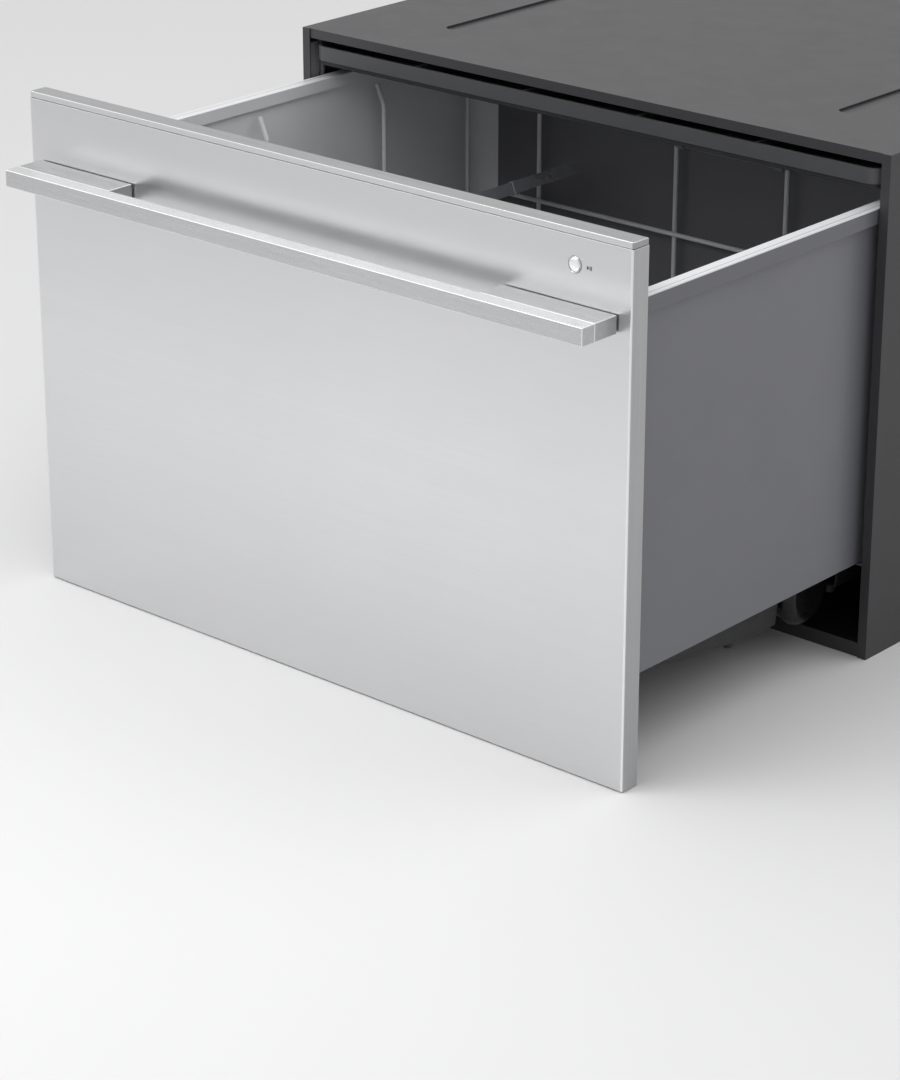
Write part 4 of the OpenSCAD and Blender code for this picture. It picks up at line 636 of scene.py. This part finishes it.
def claim(piece, finish, body, slot, *nodes):
    """A new piece takes a finish if it has none, rides on its body and stands for its solids."""
    if not piece.data.materials:
        piece.data.materials.append(finish)
    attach(piece, body)
    if nodes:
        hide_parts(*nodes)
    return piece


# ---------- Steel front, cap and pull ----------

def two_tone(piece, finish):
    """Gives a piece its finish and, in its second slot, a brighter one for its eased edges: a painted
    highlight.
    """
    piece.data.materials.append(finish)
    piece.data.materials.append(EDGE_PAINTED_HIGHLIGHT)
    return piece


def tint_faces(piece, finish, test):
    """Gives a finish of their own to the faces that pass a test of middle, in millimetres,
    and normal."""
    piece.data.materials.append(finish)
    for face in piece.data.polygons:
        if test(face.center / MM, face.normal):
            face.material_index = len(piece.data.materials) - 1


def make_steel_front():
    """Folded steel front: a tray with round folds, open at the back and top."""
    front = blank("steel_front", (-PANEL_HALF, PANEL_FACE, SKIN_LOW),
                  (PANEL_HALF, PANEL_BACK, SKIN_TOP))
    two_tone(front, FINISHES["panel_steel"])
    cut_away(front, lambda at, normal: normal.y > 0.9 or normal.z > 0.9)
    # the fold's round takes the second slot: a painted highlight
    ease(front, lambda at, along: abs(along.z) > 0.9 and at.y < PANEL_FACE + 1, FOLD_RADIUS, 6, 1)
    ease(front, lambda at, along: at.z < SKIN_LOW + 0.1 and at.y < PANEL_FACE + 2
         and abs(along.z) < 0.1, 0.7, 3)
    work_in(front, "SOLIDIFY", thickness=SKIN_THICK * MM, offset=-1, use_even_offset=True)
    ease(front, lambda at, along: at.z > SKIN_TOP - 0.1 and abs(along.z) < 0.1, 0.3, 2, 1)
    # the sheet's side faces are painted darker: painted shade
    tint_faces(front, SIDE_PAINTED_SHADE, lambda at, normal: abs(normal.x) > 0.9
               and abs(at.x) > PANEL_HALF - 0.5)
    drill(front, rod("bezel_drill", BUTTON + Vector((0, 1, 0)), BUTTON_HOLE, 6, (0, 1, 0),
                     FINE_STEPS))
    return soften(front, 30)


def make_cap():
    """Cap strip with eased edges, and the tongue that sits inside the front."""
    edge = PANEL_HALF - CAP_INSET
    cap = blank("cap_profile", (-edge, PANEL_FACE + CAP_INSET, CAP_LOW),
                (edge, PANEL_BACK, CAP_TOP))
    two_tone(cap, CAP_PAINTED_SHADE)
    ease(cap, lambda at, along: abs(along.z) > 0.9 and at.y < PANEL_FACE + 2, FOLD_RADIUS, 5)
    pick(cap, "FACE", lambda at, normal: normal.z < -0.9)
    bpy.ops.mesh.inset(thickness=2.2 * MM)
    bpy.ops.mesh.extrude_region_move(TRANSFORM_OT_translate={"value": (0, 0, -4.9 * MM)})
    put_down()
    ease(cap, lambda at, along: at.z > CAP_TOP - 0.1, 0.5, 3, 1)
    ease(cap, lambda at, along: abs(at.z - CAP_LOW) < 0.05 and at.y < PANEL_FACE + 2
         and abs(along.z) < 0.1, 0.3, 2, 1)
    # the cap's front takes the front's steel, while its top stays darker as painted shade
    tint_faces(cap, FINISHES["panel_steel"], lambda at, normal: normal.y < -0.95)
    return soften(cap, 30)


def make_pull():
    """Front bar of the handle and its two blocks, each with a fine eased edge."""
    bar = blank("pull_bar", (-PULL_HALF, PULL_FRONT, PULL_LOW), (PULL_HALF, PULL_BACK, PULL_HIGH))
    two_tone(bar, FINISHES["handle_metal"])
    ease(bar, lambda at, along: True, 0.6, 3, 1)
    # the bar's top face is painted brighter: a painted highlight
    tint_faces(bar, TOP_PAINTED_HIGHLIGHT, lambda at, normal: normal.z > 0.99)
    pieces = [(soften(bar), "handle_bar")]
    back = PANEL_FACE - BLOCK_NECK
    for side, node in ((-1, "left"), (1, "right")):
        inner, outer = sorted((side * (PULL_HALF - PULL_BLOCK), side * PULL_HALF))
        block = blank("pull_block_" + node, (inner, PULL_BACK, PULL_LOW), (outer, back, PULL_HIGH))
        two_tone(block, BLOCK_FINISH)
        # narrower neck, which leaves a dark line against the front
        pick(block, "FACE", lambda at, normal: normal.y > 0.9)
        bpy.ops.mesh.inset(thickness=2.5 * MM)
        bpy.ops.mesh.extrude_region_move(TRANSFORM_OT_translate={"value": (0, BLOCK_NECK * MM, 0)})
        put_down()
        ease(block, lambda at, along: at.y < back - 0.1 or (at.y < back + 0.1 and (
            abs(at.z - PULL_LOW) < 0.1 or abs(at.z - PULL_HIGH) < 0.1
            or min(abs(at.x - inner), abs(at.x - outer)) < 0.1)), 0.5, 3, 1)
        pieces.append((soften(block), "handle_block_" + node))
    return pieces


# ---------- Start button ----------

def make_button():
    """Domed disc with its collar and switch nub."""
    profile = [(0, 1.2), (1.6, 1.17), (3.0, 1.06), (4.1, 0.86), (4.75, 0.62), (5.0, 0.4), (5.1, 0.1),
               (5.1, -3.3), (6.3, -3.3), (6.3, -4.3), (1.5, -4.3), (1.5, -5.5), (0, -5.5)]
    return soften(turned("start_disc", profile, BUTTON, OUTWARDS, FINE_STEPS), 30)


def make_bezel():
    """Slim ring with a rounded lip, round the button."""
    profile = [(5.35, -3), (5.35, 0.35), (5.5, 0.55), (5.8, 0.55), (6.0, 0.35), (6.05, 0.1),
               (6.05, -3), (5.35, -3)]
    return soften(turned("button_ring", profile, BUTTON, OUTWARDS, FINE_STEPS), 30)


def make_mark():
    """Generic start and pause mark beside the button: a triangle and two bars."""
    middle = (BUTTON + Vector((MARK_START, 0, 0))) * MM
    start = rod("start_mark", BUTTON + Vector((MARK_START, -PRINT_THICK / 2, 0)), MARK_RADIUS,
                PRINT_THICK, (0, 1, 0), 3)
    take_up(start)
    bpy.ops.object.mode_set(mode="EDIT")
    bpy.ops.mesh.select_all(action="SELECT")
    bpy.ops.transform.rotate(value=math.radians(90), orient_axis="Y", center_override=middle)
    bpy.ops.transform.resize(value=MARK_STRETCH, center_override=middle)
    put_down()
    parts = [start]
    for number, right in enumerate(MARK_BARS):
        x = BUTTON.x + right
        parts.append(blank(f"pause_mark_{number}", (x, PANEL_FACE - PRINT_THICK, BUTTON.z - BAR_HALF),
                           (x + BAR_WIDTH, PANEL_FACE, BUTTON.z + BAR_HALF)))
    mark = one_piece("start_pause_mark", parts)
    ease(mark, lambda at, along: abs(along.y) > 0.9, 0.12, 2)
    return soften(mark)


# ---------- Screws of the housing ----------

def make_case_screws():
    """Pan-head screws with a cross recess, one modelled and copied."""
    profile = [(0, 1.75), (1.4, 1.68), (2.4, 1.4), (3.2, 0.85), (3.6, 0.15), (3.6, 0), (1.7, 0),
               (1.7, -5), (0, -5)]
    head = turned("case_screw", profile, (0, 0, 0), (1, 0, 0), 28)
    for wide, high in ((RECESS_LONG, RECESS_SHORT), (RECESS_SHORT, RECESS_LONG)):
        drill(head, blank("cross_bit", (RECESS_FLOOR, -wide / 2, -high / 2),
                          (RECESS_TOP, wide / 2, high / 2)))
    soften(head, 30)
    screws = []
    for side in (-1, 1):
        for y, z in SCREW_PLACES:
            take_up(head)
            bpy.ops.object.duplicate(linked=False)
            screw = name_it("case_screw_at")
            # each stops at an angle of its own, and the left ones face left
            stop = 13 * (y // 20) + z
            screw.rotation_euler = (math.radians(stop), 0, math.radians(0 if side > 0 else 180))
            screw.location = Vector((side * SCREW_FACE, y, z)) * MM
            screws.append(settle(screw))
    bpy.data.objects.remove(head)
    return one_piece("case_screw_heads", screws)


# ---------- The whole drawer ----------

def build_pieces():
    """Models the new pieces, and gives each its finish, body and solids."""
    claim(make_steel_front(), FINISHES["panel_steel"], "drawer", "panel_steel", "front_panel")
    claim(make_cap(), CAP_PAINTED_SHADE, "drawer", "handle_metal", "top_cap")
    for piece, node in make_pull():
        claim(piece, FINISHES["handle_metal"], "drawer", "handle_metal", node)
    claim(make_button(), FINISHES["button_metal"], "button", "button_metal", "start_button")
    claim(make_bezel(), FINISHES["bezel_metal"], "drawer", "bezel_metal", "button_bezel")
    claim(make_mark(), MARK_FINISH, "drawer", "dark_plastic")
    claim(make_case_screws(), FINISHES["zinc_steel"], "chassis", "zinc_steel", "chassis_screws")


# Solids by the width in millimetres that their edges are eased by, and the steps of the round
EASED = {
    (1.2, 3): ("lid_gasket", "spray_arm", "basket_uprights"),
    (0.8, 2): ("tub_pan", "drain_pump", "basket_grips", "panel_mounts"),
    (0.6, 2): ("tub", "dispenser_body", "wash_motor", "inlet_valve", "power_inlet",
               "lid_actuator_left", "lid_actuator_right"),
    (0.5, 2): ("dispenser_lid", "rinse_cap", "drain_filter", "drain_outlet", "leak_float",
               "lid_guides"),
    (0.4, 2): ("lid", "pan_clips"),
    (0.4, 1): ("wash_rotor",),
    (0.35, 1): ("cutlery_basket",),
    (0.3, 1): ("cup_rack", "panel_frame", "filter_plate", "tine_clips", "front_trim",
               "handle_screws", "motor_screws", "lid_pins", "rail_bracket_left",
               "rail_bracket_right"),
    (0.25, 1): ("chassis_side_left", "chassis_side_right", "chassis_back", "chassis_base",
                "chassis_top", "runner_outer_left", "runner_outer_right", "runner_middle_left",
                "runner_middle_right", "runner_inner_left", "runner_inner_right"),
    (0.2, 1): ("control_board",),
}
EDGES = {node: edge for edge, nodes in EASED.items() for node in nodes}


def dress_solids():
    """Dresses every solid that no new piece stands for, by the record's material slots."""
    slots = {row["node"]: row["material_slot"] for row in frame["record"]["subparts"]}
    for node, piece in frame["nodes"].items():
        if not piece.hide_render:
            dress(node, FINISHES[slots[node]], *EDGES.get(node, (0.0, 1)))


# ---------- Studio ----------

BACKDROP = (0.8, 0.8, 0.8)
FLOOR_SIZE, FLOOR_ROUGH = 30, 0.8

# The world's level from left to right for light and reflections, and what the camera sees of it
SKY_SPAN, SKY_LEFT, SKY_RIGHT, SKY_SEEN = (-0.6, 0.9), 0.9, 0.64, 0.76
SKY_TINT = (0.99, 0.99, 0.995, 1)

# Lamps: place, what they aim at, width and height in metres, and power in watts
LAMPS = {
    "high_right": ((1.5, 0.9, 3.0), (0, -0.4, 0.3), (2.2, 2.2), 16),
    "front_left": ((-2.4, -2.8, 1.9), (0, -0.6, 0.2), (2.2, 1.6), 15),
    "over_front": ((-0.1, -1.15, 1.15), (-0.3, -0.8, 0.0), (0.9, 0.6), 5),
}

# Camera, fitted to the photograph: place in metres, tilt and turn in degrees, lens in millimetres
VIEW_FROM = (1.62134, -2.26726, 1.07709)
VIEW_DOWN, VIEW_TURN = 22.39, 41.38
LENS, SENSOR = 111.57, 36


def plain_floor():
    """Pale floor, which isn't part of the object."""
    put_down()
    bpy.ops.mesh.primitive_plane_add(size=FLOOR_SIZE, location=(0, 0, 0))
    floor = name_it("floor")
    material = bpy.data.materials.new("pale_floor")
    material.use_nodes = True
    shader = material.node_tree.nodes["Principled BSDF"]
    shader.inputs["Base Color"].default_value = rgb(BACKDROP)
    shader.inputs["Roughness"].default_value = FLOOR_ROUGH
    floor.data.materials.append(material)


def soft_light(name, at, aim, size, power):
    """A large soft lamp, which the camera doesn't see."""
    data = bpy.data.lights.new(name, "AREA")
    data.shape = "RECTANGLE"
    data.size, data.size_y = size
    data.energy = power
    lamp = bpy.data.objects.new(name, data)
    bpy.context.collection.objects.link(lamp)
    lamp.location = at
    lamp.visible_camera = False
    lamp.rotation_euler = (Vector(aim) - Vector(at)).to_track_quat("-Z", "Y").to_euler()


def even_world():
    """Dimmer towards the right for light and reflections; the backdrop itself stays even."""
    world = bpy.data.worlds.new("studio")
    bpy.context.scene.world = world
    world.use_nodes = True
    bench = Bench(world.node_tree)
    shade = world.node_tree.nodes["Background"]
    path = bench.add("ShaderNodeLightPath")
    way = bench.add("ShaderNodeTexCoord").outputs["Generated"]
    right = bench.add("ShaderNodeSeparateXYZ", way).outputs[0]
    mixed = bench.add("ShaderNodeMix", data_type="FLOAT")
    bench.join(path.outputs["Is Camera Ray"], mixed.inputs[0])
    bench.join(bench.span(right, *SKY_SPAN, SKY_LEFT, SKY_RIGHT), mixed.inputs[2])
    mixed.inputs[3].default_value = SKY_SEEN
    shade.inputs["Color"].default_value = SKY_TINT
    bench.join(mixed.outputs[0], shade.inputs["Strength"])


def set_camera():
    """The photograph's viewpoint, with no shift."""
    camera = bpy.data.cameras.new("view")
    camera.lens = LENS
    camera.sensor_width = SENSOR
    place = bpy.data.objects.new("view", camera)
    bpy.context.collection.objects.link(place)
    place.location = VIEW_FROM
    place.rotation_euler = (math.radians(90 - VIEW_DOWN), 0, math.radians(VIEW_TURN))
    bpy.context.scene.camera = place


def studio():
    """Floor, world, lamps and camera."""
    plain_floor()
    even_world()
    for name, lamp in LAMPS.items():
        soft_light(name, *lamp)
    set_camera()
    bpy.context.scene.view_settings.view_transform = "Standard"


build_pieces()
dress_solids()
studio()
